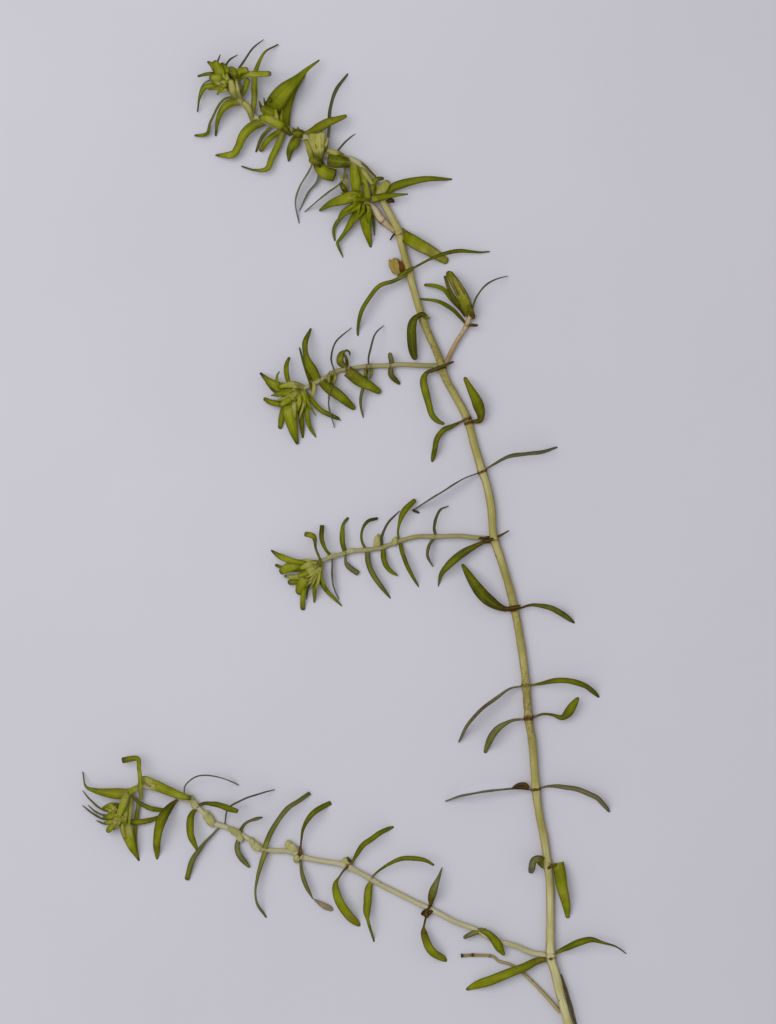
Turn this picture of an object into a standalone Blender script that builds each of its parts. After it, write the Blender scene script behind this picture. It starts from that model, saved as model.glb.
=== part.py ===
# Water starwort: a torn-off spray that lies flat on a surface.
# Thin round stems carry narrow leaves in opposite pairs and end in small leafy rosettes.
# +Z is up, +Y runs towards the growing tip, and the origin is under the middle of the spray.

import math
from collections import namedtuple

import bmesh
import bpy
from mathutils import Vector

# Real size, in millimetres and in metres
MM = 0.001
PIXELS_PER_MM = 7.0
ORIGIN_PIXEL = (354.3, 541.5)
MAIN_RADIUS = 0.58
CUT_END_RADIUS = 0.74
TOP_RADIUS = 0.46
LOWER_RADIUS = 0.38
MIDDLE_RADIUS = 0.32
UPPER_RADIUS = 0.32
SHOOT_RADIUS = 0.3
ROSETTE_HEIGHT = 0.8
LEAF_THICKNESS_RATIO = 0.24
WELD_DISTANCE = 1e-7

# A leaf's listed heights are multiplied by this, so that the whole spray lies a little higher
LEAF_LIFT = 1.5

# Facets: a main stem's sides, a branch's sides, a bud's, and the stations along a leaf
MAIN_SIDES = 8
BRANCH_SIDES = 6
BUD_SEGMENTS = 6
BUD_RINGS = 4
ROUTE_STEPS = 12
LEAF_STATIONS = (0.0, 0.09, 0.24, 0.45, 0.66, 0.86, 1.0)
JOINED_LEAF_STATIONS = {3: (0.0, 0.5, 1.0), 4: (0.0, 0.25, 0.6, 1.0), 5: (0.0, 0.2, 0.46, 0.74, 1.0)}

# A leaf is narrow where it leaves the stem, even along its blade and blunt at its tip
LEAF_OUTLINE = ((0.0, 0.38), (0.12, 0.62), (0.3, 0.95), (0.5, 1.0), (0.75, 0.95), (0.92, 0.72), (1.0, 0.35))

# Routes are read off the photograph, in its pixels. Heights are millimetres of air under the
# piece at even stations along it, widths are millimetres and rolls are degrees.
Stem = namedtuple("Stem", "route radii heights points sides")
Leaf = namedtuple("Leaf", "route width heights roll rise", defaults=((0,), None))
Bud = namedtuple("Bud", "place length breadth height turn", defaults=(0.3, 0))

MAIN_STEM = Stem(
    route=[(573, 1045), (568, 1022), (561, 996), (555, 972), (550.5, 954), (550.5, 913), (550, 884),
           (547.6, 864), (544.5, 840), (539.6, 816), (536, 790), (532.4, 744), (528.8, 720),
           (525.8, 682), (522.5, 654), (518.3, 628), (514, 607), (509.7, 589), (501, 560),
           (493.6, 536), (491.3, 508), (486.8, 485), (481, 468), (474.3, 445), (466.8, 418),
           (453.7, 393), (445.3, 377.5), (437.9, 355), (425.7, 327), (416.4, 299), (409, 272),
           (402.4, 248), (398.5, 231), (390.8, 216), (384.3, 204), (379, 190)],
    radii=(CUT_END_RADIUS, MAIN_RADIUS, MAIN_RADIUS, MAIN_RADIUS, MAIN_RADIUS, 0.54, 0.52),
    heights=(0.0, 0.3, 0.0, 0.25, 0.4, 0.0, 0.2, 0.3, 0.0, 0.25, 0.3, 0.1),
    points=46, sides=MAIN_SIDES)

GROWING_TIP_STEM = Stem(
    route=[(378.2, 188), (371, 177), (355, 161), (335, 156), (319, 152), (313, 142), (302, 136),
           (287, 129), (274, 124.6), (261, 119), (253.5, 116), (246, 106), (240.4, 100), (232, 93),
           (226, 84), (218, 75)],
    radii=(0.5, TOP_RADIUS, 0.5, TOP_RADIUS, 0.42, 0.34),
    heights=(0.1, 0.25, 0.4, 0.3, 0.5, 0.7),
    points=22, sides=BRANCH_SIDES)

LOWER_STEM = Stem(
    route=[(545, 955.3), (531.5, 953), (514, 945.6), (493, 939.7), (475.7, 929.5), (455, 922),
           (434, 911), (415, 902.4), (399, 894.5), (381, 885.4), (371.6, 879.7), (351, 868.4),
           (340, 864), (324, 861.6), (305, 858), (291, 852), (273, 851), (260, 849), (250.7, 841),
           (237, 833), (224, 827), (212, 823), (206.7, 817), (195, 805), (180, 798), (160, 791),
           (145, 787)],
    radii=(0.4, LOWER_RADIUS, LOWER_RADIUS, 0.34, 0.3),
    heights=(0.2, 0.6, 0.3, 0.0, 0.4, 0.2, 0.0, 0.3, 0.4),
    points=30, sides=BRANCH_SIDES)

MIDDLE_STEM = Stem(
    route=[(488.8, 538.6), (473, 537.6), (459, 536), (436, 536.7), (417, 536.7), (399, 541.5),
           (382, 547.5), (367, 550), (353, 551), (344, 553.5), (331, 557), (325.5, 559.5)],
    radii=(0.34, MIDDLE_RADIUS, 0.29),
    heights=(0.3, 0.7, 0.3, 0.0, 0.3, 0.5),
    points=18, sides=BRANCH_SIDES)

UPPER_STEM = Stem(
    route=[(436.6, 365.6), (420, 365.3), (400, 364.4), (390, 365.5), (371, 366), (353, 368),
           (337, 371), (326, 377), (318.5, 381), (311, 385), (304, 388.5)],
    radii=(0.34, UPPER_RADIUS, 0.29),
    heights=(0.3, 0.5, 0.2, 0.1, 0.4),
    points=16, sides=BRANCH_SIDES)

RIGHT_STEM = Stem(
    route=[(447.5, 360), (451, 352), (457.5, 340), (464, 330), (468, 322), (470.5, 313)],
    radii=(0.32, SHOOT_RADIUS, 0.34), heights=(0.35, 0.5, 0.6), points=7, sides=BRANCH_SIDES)

SIDE_STEM = Stem(
    route=[(391.2, 228.5), (385.5, 223.5), (379.5, 217.5), (375.5, 211), (369, 205.5), (360, 203)],
    radii=(0.36, 0.5, 0.56, 0.4), heights=(0.35, 0.6, 0.6), points=7, sides=BRANCH_SIDES)

BROKEN_STEM = Stem(
    route=[(557.2, 1009.3), (547, 997.5), (534, 984), (523, 974), (511, 965.5), (499, 962),
           (492, 957), (474, 956), (461, 956.6)],
    radii=(0.27, 0.25, 0.2, 0.22), heights=(0.4, 0.1, 0.0, 0.0), points=14, sides=BRANCH_SIDES)

# The main stem's own leaves, numbered from its cut end
MAIN_LEAVES = {
    "leaf_00_right": Leaf([(579, 1036), (576, 1024), (571, 1006), (565.3, 987), (561, 974)],
                          0.95, (0.4, 0.5, 0.3), (64,)),
    "leaf_01_left": Leaf([(544.5, 961.8), (535, 962), (525, 966.5), (510, 972), (495, 977.8),
                          (480, 983.8), (466.3, 991)],
                         (0.5, 1.0, 1.25, 1.35, 1.4, 1.2, 0.4), (1.0, 0.9, 0.0), (10,)),
    "leaf_01_right": Leaf([(556.3, 953), (567, 947), (578, 941), (590, 938), (602, 941),
                           (615, 945.6), (627, 955)],
                          (0.5, 0.95, 1.1, 0.85, 0.45, 0.35, 0.15), (1.4, 1.6, 0.0), (15, 15, 30, 50)),
    "leaf_02_left": Leaf([(541.8, 862.8), (538.5, 859), (534, 858.8), (531.3, 864), (531.3, 874)],
                         (0.5, 1.2, 1.05, 1.0, 0.95, 0.6), (1.6, 1.9, 0.2), (5,)),
    "leaf_02_right": Leaf([(558.6, 864), (560, 874), (562.8, 889), (566, 905), (568.3, 919)],
                          (1.6, 1.6, 1.45, 1.15, 0.5), (1.1, 1.2, 0.7, 0.1), rise=1.2),
    "leaf_03_left": Leaf([(530.3, 789.8), (514, 788.6), (500, 789.6), (480, 792), (462, 795.6),
                          (445, 802)], 0.9, (0.7, 0.8, 0.0), (78,)),
    "leaf_03_right": Leaf([(542, 787.8), (549, 786.4), (562, 786.4), (578, 789), (594, 796),
                           (603, 804.3), (610, 813)], 1.0, (1.3, 1.2, 0.0), (40,)),
    "leaf_04_left": Leaf([(522.8, 719.3), (511, 720.5), (499.5, 726.5), (491.8, 735.5), (487.5, 745.5),
                          (485, 753.8)], (0.3, 0.5, 0.95, 0.95, 0.45), (1.2, 1.3, 0.0), (8,)),
    "leaf_04_right": Leaf([(535, 716.5), (543, 714), (552, 714.8), (561, 717.5), (566.5, 714),
                           (571.5, 706.5), (578.3, 697)],
                          (0.35, 0.35, 0.4, 0.75, 1.3, 1.1, 0.45), (0.8, 0.9, 1.2)),
    "leaf_05_left": Leaf([(520.2, 686.6), (508.4, 689.5), (491.6, 701), (478.4, 711.6), (467.6, 725),
                          (458.6, 743)], 0.95, (1.1, 1.2, 0.0), (64,)),
    "leaf_05_right": Leaf([(532.5, 685.2), (542, 683.4), (554, 680.4), (569.6, 680.4), (584, 685),
                           (593.6, 692.4), (599.6, 698)], 0.9, (1.5, 1.7, 0.0), (25,)),
    "leaf_06_left": Leaf([(509.3, 609.5), (503, 608.5), (495, 604.8), (486, 598), (478, 588.5),
                          (470, 577.5), (462, 564)],
                         (0.5, 1.05, 1.55, 1.7, 1.6, 1.3, 0.95, 0.4), (1.3, 1.6, 0.6)),
    "leaf_06_right": Leaf([(520.8, 608), (531, 605), (542, 606), (552.4, 608.5), (563, 614.4),
                           (575, 623.5)], (0.3, 0.45, 0.65, 0.8, 0.9, 0.8, 0.3), (1.0, 1.2, 0.0), (20,)),
    "leaf_07_left": Leaf([(490, 543.8), (484, 543.3), (477, 545.5), (467, 551), (457, 557.5),
                          (447.5, 566), (441, 574.5), (438.3, 587)],
                         (0.35, 0.5, 0.85, 1.1, 1.15, 1.1, 0.85, 0.5, 0.12), (0.9, 1.3, 0.0), (8,)),
    "leaf_08_left": Leaf([(476.6, 473.6), (463, 479), (446, 489.5), (429, 500), (412.6, 510.5)],
                         0.85, (0.9, 0.9, 0.0), (78,)),
    "leaf_08_right": Leaf([(487.2, 468.3), (492.5, 465), (508, 456.7), (525, 454), (541, 452), (558, 447)],
                          0.9, (1.2, 1.3, 0.0), (54,)),
    "leaf_09_left": Leaf([(461.2, 421.5), (450.5, 426.6), (443.7, 430), (437.5, 438), (434.7, 448.7),
                          (432, 462)], 0.85, (0.4, 0.9, 0.0), (20,)),
    "leaf_09_right": Leaf([(473.8, 421.5), (480, 420), (480.5, 412), (476.5, 402), (470.5, 390),
                           (464.5, 377)], (0.5, 1.1, 1.6, 1.3, 0.9, 0.5), (1.0, 1.4, 1.5, 0.8)),
    "leaf_10_left": Leaf([(438, 373.8), (431, 373), (425.5, 375.5), (423.5, 381), (425, 391),
                          (428.5, 404), (432, 415), (438, 421.5), (444.4, 424.5)],
                         (0.5, 0.6, 1.05, 1.1, 1.0, 0.9, 0.8, 0.4), (0.9, 1.2, 1.8), (10,)),
    "leaf_11_left": Leaf([(427, 317.5), (421, 315), (415, 319), (411.8, 328), (411.5, 341),
                          (413, 351), (415.7, 360)],
                         (0.4, 0.6, 1.2, 1.35, 1.35, 1.2, 0.7), (1.5, 1.0, 0.6), rise=1.6),
    "leaf_12_left": Leaf([(404.2, 278), (394, 281), (380, 286), (371, 296), (361.6, 311),
                          (358, 326), (357.6, 335.5)],
                         (0.5, 0.65, 0.7, 0.7, 0.6, 0.3), (1.1, 1.2, 0.0), (20, 25, 30)),
    "leaf_12_right": Leaf([(413.8, 268), (430, 259.5), (445, 254), (460, 251), (479, 252), (490, 251)],
                          (0.35, 0.4, 0.6, 0.65, 0.45, 0.2), (1.05, 0.9, 0.5, 0.1), (30, 30, 40)),
    "leaf_13_right": Leaf([(406.3, 235), (411, 240.5), (424, 248), (437, 255), (448, 261.5)],
                          (0.5, 1.9, 1.75, 1.45, 0.9), (1.3, 0.9, 0.25, 0.1)),
    "leaf_14_right_a": Leaf([(386, 192.6), (390, 189.5), (397, 185.5), (420, 180.5), (437, 179),
                             (452.5, 178.5)], (0.5, 1.25, 1.1, 0.85, 0.6, 0.25), (0.9, 1.2, 0.0), (12,)),
    "leaf_14_right_b": Leaf([(377.5, 197.5), (383, 197.5), (390, 196.5), (400, 195.5), (408, 194.5)],
                            (0.5, 0.9, 0.7, 0.45, 0.2), (1.4, 1.3, 1.0), (10,), 1.4),
}

# Leaves of the lower branch, numbered from the main stem
LOWER_LEAVES = {
    "lower_leaf_00_left": Leaf([(479, 937), (474, 936), (468.5, 936.5), (463.5, 938.5)],
                               (0.4, 0.75, 0.7, 0.5), (0.6, 0.5), (10,)),
    "lower_leaf_00_right": Leaf([(486, 930.6), (490.5, 935), (496.5, 943), (504.5, 955.5)],
                                (0.5, 1.1, 1.25, 0.4), (1.05, 1.05, 0.6), rise=1.5),
    "lower_leaf_01_upper": Leaf([(430.6, 905), (431.5, 896), (435.5, 884), (442.4, 867.5)],
                                (0.45, 1.05, 1.15, 0.8, 0.45, 0.15), (1.3, 1.4, 0.5)),
    "lower_leaf_01_lower": Leaf([(427.5, 912), (425, 921), (423.5, 929), (425.5, 938), (432, 950),
                                 (447, 962.5)],
                                (0.3, 0.35, 0.9, 1.15, 1.2, 1.1, 0.4), (0.9, 1.4, 0.0)),
    "lower_leaf_02_upper": Leaf([(373, 876.4), (380.7, 869), (389.7, 862.7), (401, 857.5), (414.7, 857),
                                 (426, 859), (434, 863.5)], (0.25, 0.35, 0.5, 0.65, 0.7, 0.6, 0.3),
                                (1.2, 1.6, 1.9, 2.1)),
    "lower_leaf_02_lower": Leaf([(370.6, 883.7), (368.3, 890), (367.3, 902), (367.4, 916), (374, 943)],
                                (0.5, 1.0, 1.12, 1.15, 1.1, 0.95, 0.5, 0.45, 0.4, 0.35, 0.2),
                                (0.9, 1.1, 0.0), (0, 5, 20)),
    "lower_leaf_03_upper": Leaf([(351.5, 864.2), (357, 854), (362.5, 845), (371.6, 838), (381, 832),
                                 (394, 827.6)], 0.85, (1.1, 1.4, 0.0), (20,)),
    "lower_leaf_03_lower": Leaf([(345.5, 870.5), (340, 876), (335.8, 885), (339, 900), (349, 915),
                                 (360, 927)],
                                (0.4, 0.35, 0.9, 1.25, 1.3, 1.1, 0.45), (0.8, 1.2, 0.0), (30, 5, 0)),
    "lower_leaf_04_upper": Leaf([(300.3, 851), (301.3, 841), (303, 829), (308, 819), (316, 810.6),
                                 (331, 803)], (0.25, 0.3, 0.5, 0.75, 0.8, 0.6), (1.0, 1.2, 0.0)),
    "lower_leaf_04_lower": Leaf([(300.3, 861.8), (301.5, 871), (304.5, 881), (308.5, 890.5),
                                 (315, 900.5), (333, 911)],
                                (0.4, 0.6, 0.75, 0.55, 0.7, 0.5), (0.8, 0.9, 0.0), (25,)),
    "lower_leaf_05_upper": Leaf([(265.8, 845.3), (268, 839), (272, 830), (280, 817), (289, 806.7),
                                 (300, 800), (310, 793)],
                                (0.5, 0.85, 0.8, 0.8, 0.75, 0.6), (1.1, 1.3, 0.2), (25,)),
    "lower_leaf_05_lower": Leaf([(264.5, 854.5), (261.5, 863), (257.8, 876), (255.5, 890), (257.5, 904),
                                 (266, 918.7)],
                                (0.5, 0.7, 0.5, 0.35, 0.45, 0.3), (0.8, 0.9, 0.0), (25, 30, 20)),
    "lower_leaf_06_upper": Leaf([(241.4, 830.5), (246, 822.5), (252, 819.5), (263, 816.8)],
                                (0.45, 0.5, 0.45, 0.6, 0.25), (1.2, 1.0), (25,)),
    "lower_leaf_06_lower": Leaf([(238.4, 838.4), (237, 847), (240.5, 857), (249.5, 868)],
                                (0.4, 0.75, 0.85, 0.8, 0.4), (0.6, 0.2), (10,)),
    "lower_leaf_07_upper": Leaf([(224.8, 822.6), (226.5, 812), (232, 805), (252, 795.5), (274.7, 790)],
                                0.75, (0.6, 1.0, 0.1), (68,)),
    "lower_leaf_07_lower": Leaf([(217.5, 829.6), (212, 835), (203, 845), (192, 861), (186, 881)],
                                (0.35, 0.45, 0.75, 0.85, 0.75), (0.3, 0.4, 0.0), (45, 30, 20)),
    "lower_leaf_08_upper": Leaf([(200.8, 804.7), (207, 802.5), (217, 803), (228, 806), (239, 810)],
                                (0.35, 0.65, 0.85, 0.95, 0.65), (1.9, 2.2, 2.0), (15,)),
    "lower_leaf_08_lower": Leaf([(193.6, 810.5), (190.8, 817), (190.3, 824), (192, 835), (198, 849)],
                                (0.4, 1.0, 1.05, 0.9, 0.4), (1.2, 1.6, 1.6)),
    "lower_leaf_09_upper": Leaf([(183.8, 794.8), (185, 786), (191.5, 779), (200, 775.2), (210.7, 775),
                                 (225, 778.7), (238.7, 786)], 0.7, (0.9, 1.0, 0.0), (72,)),
    "lower_leaf_09_lower": Leaf([(176.8, 801.6), (171, 806.5), (164.5, 815), (160, 825), (157.5, 838),
                                 (156.5, 860.4)], (0.4, 1.15, 1.5, 1.3, 1.1, 0.95, 0.3), (1.6, 1.2, 0.0)),
}

# The large leaves near the top of the plant
TOP_LEAVES = {
    "top_leaf_1": Leaf([(326.5, 149.5), (329, 129), (330, 111), (335.5, 92), (348, 72.5)],
                       0.85, (0.8, 1.2, 0.0), (58,)),
    "top_leaf_2": Leaf([(306, 132.5), (317, 129.5), (329, 123.5), (340, 119.3), (347, 116.5)],
                       (0.5, 1.3, 1.3, 0.9, 0.5), (1.2, 1.5, 1.2)),
    "top_leaf_3": Leaf([(287.5, 122), (286.5, 112), (288.5, 101), (294, 87), (304.5, 72)],
                       (0.9, 1.5, 1.7, 1.35, 0.5), (0.7, 0.6, 0.1)),
    "top_leaf_4": Leaf([(269, 116.5), (273, 107), (281.5, 96.5), (296, 83), (307, 71), (319.6, 60.4)],
                       (1.0, 2.5, 2.3, 1.35, 0.6, 0.25), (1.5, 1.9, 1.6, 1.0)),
}

# Small leaves that stay joined to the stem they grow from
GROWING_TIP_LEAVES = [
    Leaf([(375, 183), (378, 179.5), (384, 178.5)], 0.65, (1.1, 0.9)),
    Leaf([(352, 160.5), (341, 163), (327, 161)], (1.2, 1.8, 1.7), (1.0, 1.2)),
    Leaf([(354.5, 161), (355, 178), (357, 197)], (0.9, 1.35, 1.0), (1.2, 0.9)),
    Leaf([(318.5, 152), (317, 162), (325, 172), (335.5, 176.5)], (0.9, 1.7, 1.9, 1.8), (1.1, 0.7)),
    Leaf([(335, 156), (340, 149), (349.7, 139.6), (356, 135)], 0.6, (1.4, 1.6), (68,)),
    Leaf([(316, 150), (311, 168), (300, 187), (295.5, 203), (299, 223)], 0.75, (0.8, 0.6, 0.0), (65,)),
    Leaf([(318.5, 152), (318, 178), (308, 192), (299.3, 210)], 0.7, (0.3, 0.1, 0.0), (65,)),
    Leaf([(345, 159), (343, 180), (327, 194), (304, 211.5)], 0.7, (0.8, 1.0, 0.1), (62,)),
    Leaf([(298, 134), (294, 143), (290, 151), (288.3, 161)], (0.8, 1.5, 1.0, 0.2), (0.9, 0.2)),
    Leaf([(281, 127.5), (270, 138.5), (259.5, 151)], (0.6, 0.9, 0.85, 0.5), (0.9, 0.3)),
    Leaf([(284, 127), (278, 145), (272, 158), (267, 169), (255, 170), (241, 165.7)],
         (0.8, 0.95, 0.95, 0.8, 0.35, 0.2), (0.6, 0.8, 0.3)),
    Leaf([(268, 120.5), (254, 126), (244, 136), (238, 148), (232, 154.5), (215, 154.8)],
         (1.1, 1.35, 1.35, 1.1, 1.0, 0.25), (1.2, 0.9, 0.3)),
    Leaf([(273, 124), (262, 136), (255.4, 151.5)], 0.55, (0.2, 0.0), (20,)),
    Leaf([(252, 116), (254.5, 100), (254.5, 85), (257, 70), (265, 53), (278, 43.3)],
         (0.6, 0.85, 0.85, 0.6, 0.35, 0.2), (1.2, 1.5, 1.2, 0.2)),
    Leaf([(243, 102), (230, 104.5), (221, 113), (217, 124), (215.2, 135.5)],
         (0.8, 1.2, 0.9, 0.55, 0.25), (1.3, 0.9, 0.1)),
    Leaf([(236, 96), (223, 101), (211, 121), (207, 133.5), (194, 135)],
         0.6, (1.0, 0.5, 0.2), (40, 40, 40, 10)),
    Leaf([(229, 88), (243, 77), (258, 76), (272, 75.5)], (0.6, 0.8, 0.9, 0.75), (1.5, 1.8), (5,)),
    Leaf([(228, 86), (240.5, 68), (254, 48), (263.6, 38.8)], 0.65, (1.3, 1.2, 0.3), (65,)),
    Leaf([(238, 99), (242, 88), (233, 78)], 0.6, (1.8, 1.9), (60,)),
    Leaf([(222, 77), (209, 75.5), (198, 77.8)], (0.7, 0.6, 0.35), (1.6, 1.5), (10,)),
    Leaf([(226, 84), (214, 87), (205, 88.5), (200, 98), (197.2, 111.5)],
         (0.9, 1.0, 0.7, 0.35, 0.2), (1.4, 1.2, 0.3)),
    Leaf([(219, 78), (204, 84), (198, 98)], 0.6, (0.7, 0.5), (60,)),
    Leaf([(219, 76), (218, 66), (221, 55.5)], 0.6, (1.7, 1.4), (60,)),
    Leaf([(221, 77), (229, 62), (238, 55)], 0.6, (1.2, 0.9), (65,)),
    Leaf([(220, 76), (214, 68), (208, 63)], (0.9, 0.9, 0.3), (1.9, 1.7)),
    Leaf([(319, 154), (318, 147), (316.5, 136)], (1.0, 1.9, 2.2), (1.65, 1.6)),
]
GROWING_TIP_BUD = Bud((218.5, 75), 2.2, 1.6, 0.4, 40)

MIDDLE_LEAVES = [
    Leaf([(436, 536.7), (434, 528), (436, 518), (440.5, 509.6), (449, 506)], 0.7, (0.9, 1.0, 0.3), (50,)),
    Leaf([(435, 536.7), (429, 546), (427.6, 556), (433, 567)], 0.7, (0.8, 0.2), (50,)),
    Leaf([(398.7, 541.6), (398.2, 529), (404, 511.5), (415.5, 499.3)], (0.3, 0.4, 0.9, 0.6), (0.9, 1.1, 0.4)),
    Leaf([(400, 541.3), (402.4, 552), (408, 567.5), (419, 587.5)], 0.7, (0.9, 0.8, 0.0), (25,)),
    Leaf([(382.3, 547.4), (382, 536), (388, 523), (400, 510.5)], 0.65, (0.8, 1.0, 0.2), (55,)),
    Leaf([(383, 547.2), (384, 560), (389.7, 570), (398, 576)], 0.8, (0.8, 0.3), (15,)),
    Leaf([(366, 550.2), (361.8, 541), (362, 531), (367.5, 521.5), (378, 518)],
         (0.4, 0.4, 0.4, 0.55, 0.45), (0.9, 0.9, 0.2), (25,)),
    Leaf([(367, 550), (368.6, 563), (374.5, 577), (390.7, 599)], 0.85, (0.8, 0.8, 0.0), (20,)),
    Leaf([(345, 553.2), (342.5, 540), (342.5, 529), (344, 523), (348.5, 517.5)],
         (0.6, 0.75, 0.75, 0.5, 0.35), (0.9, 0.7, 0.1), (15,)),
    Leaf([(345.5, 553), (345.3, 560), (347, 564.5), (352, 569.5), (358.5, 574)],
         (0.35, 0.35, 0.75, 0.8, 0.75), (0.5, 0.2), (10,)),
    Leaf([(332, 556.8), (325.5, 549), (322, 539), (322, 525)], (0.35, 0.45, 0.62, 0.68, 0.66),
         (1.2, 1.3, 0.5), (10,)),
    Leaf([(332.3, 556.8), (332.3, 578), (334.7, 590), (339, 600)], 0.65, (0.4, 0.5, 0.0), (68,)),
]
MIDDLE_TIP_LEAVES = [
    Leaf([(319, 567), (319.5, 557), (316, 548), (314, 537), (304.5, 533.5)],
         (0.5, 0.5, 0.45, 0.6, 0.85, 0.7), (1.4, 1.3), (45, 40, 0)),
    Leaf([(319, 570), (320.5, 580), (327, 591), (342, 606.7)], (0.5, 0.7, 0.65, 0.5, 0.15),
         (0.6, 0.5, 0.0), (20,)),
    Leaf([(316, 566), (305, 563), (290, 560), (280, 556), (271, 550)], (0.4, 0.5, 0.85, 0.9, 0.25),
         (1.4, 1.6, 0.8), (10,)),
    Leaf([(316, 568), (304, 565.5), (295, 564.5), (288, 567.5), (280, 573)], (0.7, 1.2, 1.5, 1.4, 0.8),
         (1.2, 0.9), (5,)),
    Leaf([(312, 568.5), (290, 570), (275, 564.7)], 0.6, (0.5, 0.4), (30,)),
    Leaf([(315, 570), (303, 575), (295.5, 577), (284, 576)], (0.7, 0.85, 0.8, 0.4), (0.9, 0.4), (10,)),
    Leaf([(315, 571), (300, 580.5), (287.5, 582.5)], (0.6, 0.85, 0.9, 0.8), (0.7, 0.2), (10,)),
    Leaf([(315, 571), (306, 578), (300.5, 586), (299, 595)], (0.8, 1.2, 1.25, 1.0), (1.3, 0.4), (5,)),
    Leaf([(316, 571), (306, 583), (303, 596), (302.5, 610.5)], (0.6, 0.8, 0.75, 0.7), (0.8, 0.1), (10,)),
    Leaf([(317, 571), (309, 585), (306, 600)], 0.6, (0.2, 0.0), (50,)),
    Leaf([(318, 571), (315, 584), (314, 603)], (0.55, 0.65, 0.65, 0.25), (0.9, 0.1), (20,)),
]
MIDDLE_TIP_BUD = Bud((316, 567.5), 2.1, 1.5, 0.5, 20)

UPPER_LEAVES = [
    Leaf([(391, 365.5), (391, 359), (389.5, 352.5)], (0.6, 0.75, 0.55), (0.9, 0.8), (10,)),
    Leaf([(390.5, 365.5), (391, 374), (395, 379.5), (400, 384)], (0.6, 0.8, 0.75, 0.4), (0.5, 0.1), (10,)),
    Leaf([(368.7, 366), (369.3, 355), (375, 335), (384, 325)], 0.7, (0.9, 1.0, 0.2), (68,)),
    Leaf([(367.5, 366), (364, 385), (360.5, 402), (363.3, 418)], 0.7, (0.7, 0.6, 0.0), (45,)),
    Leaf([(346.5, 368), (340.5, 362), (341, 354.5), (350, 353)], (0.5, 1.0, 0.95, 0.35), (1.2, 1.1), (5,)),
    Leaf([(348, 370), (357, 378.5), (370, 386.5), (381, 392.5)], (1.3, 1.75, 1.35, 0.7), (0.9, 1.0, 0.3)),
    Leaf([(334.5, 371.6), (331.3, 358), (336, 342), (351.6, 327.3)], 0.65, (0.9, 0.9, 0.2), (70,)),
    Leaf([(333, 372), (331, 387), (328.7, 405), (334.3, 427.6)], 0.65, (0.8, 0.9, 0.1), (35, 68, 68)),
    Leaf([(320, 380), (330, 389), (344, 399.6), (355, 409)], (0.9, 1.45, 1.5, 1.2, 0.6), (0.9, 1.1, 0.2)),
    Leaf([(318, 383), (312.5, 372), (307, 358), (305.3, 343), (311, 328)],
         (1.3, 1.55, 0.8, 0.8, 0.3), (1.0, 1.2, 0.5)),
    Leaf([(313, 384), (309, 377), (304, 363), (299, 347)], 0.55, (0.5, 0.5, 0.1), (30,)),
]
UPPER_TIP_LEAVES = [
    Leaf([(297, 392), (304, 393), (311, 399.5), (321, 410), (339.5, 419)], 0.75, (0.8, 0.7, 0.0), (15,)),
    Leaf([(297, 396), (306, 403), (307, 416), (310, 427), (316, 437.5)], 0.8, (0.9, 0.6, 0.0), (15,)),
    Leaf([(294, 393), (291, 388), (287.5, 378), (286.7, 366), (289.5, 357)], 0.7, (1.2, 1.3, 0.7), (15,)),
    Leaf([(290, 392), (279, 387), (277.4, 377), (280, 371.5)], 0.55, (1.6, 1.4), (30,)),
    Leaf([(290, 393), (283, 389), (271, 382.5), (259.7, 372.5)], (1.0, 1.3, 1.2, 0.8, 0.25),
         (1.3, 1.2, 0.4), (5,)),
    Leaf([(290, 395.5), (276, 393), (265.3, 382)], 0.6, (0.4, 0.1), (35,)),
    Leaf([(290, 397), (283, 404), (272, 402.5), (263.4, 398)], (0.8, 0.9, 0.85, 0.5), (0.8, 0.3), (10,)),
    Leaf([(291, 398), (283, 410), (279.7, 429)], (0.7, 0.8, 0.85, 0.6), (0.4, 0.0), (10,)),
    Leaf([(292, 396), (290, 410), (291, 420), (293.5, 430), (297.5, 444.4)],
         (1.5, 2.0, 1.8, 1.25, 0.4), (1.3, 1.0, 0.2)),
    Leaf([(294, 398), (300.7, 414.5), (302.6, 438)], (0.6, 0.8, 0.75, 0.35), (0.4, 0.0), (15,)),
]
UPPER_TIP_BUD = Bud((293.5, 394), 2.3, 1.7, 0.4, 20)

RIGHT_LEAVES = [
    Leaf([(467, 325), (460, 317), (450, 308), (436, 301.5), (420, 299)],
         (0.4, 0.6, 0.7, 0.55, 0.35), (1.2, 1.4, 0.9), (25,)),
    Leaf([(467, 325), (472, 325.5), (478, 325.5)], (0.4, 0.45, 0.35), (1.0, 0.9), (10,)),
    Leaf([(469, 317), (456, 302), (449, 290), (444.5, 276)], (0.6, 0.7, 0.6, 0.4), (1.3, 1.4, 1.2)),
    Leaf([(471, 317), (465, 303), (457, 288), (447.5, 271.5)], (1.0, 1.6, 1.55, 1.35, 0.8), (1.3, 1.5, 1.0)),
    Leaf([(468.5, 318), (452, 300), (444, 290), (434, 285.5), (424, 284.5)],
         (0.3, 0.5, 0.75, 0.7, 0.5), (0.7, 0.8, 0.3), (30,)),
    Leaf([(471, 315), (475, 300), (484, 287), (496, 279.5), (508, 275.5)], 0.65, (1.0, 1.2, 0.2), (66,)),
]
RIGHT_BUD = Bud((470.5, 314.5), 1.2, 0.9, 0.6, 80)

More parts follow.
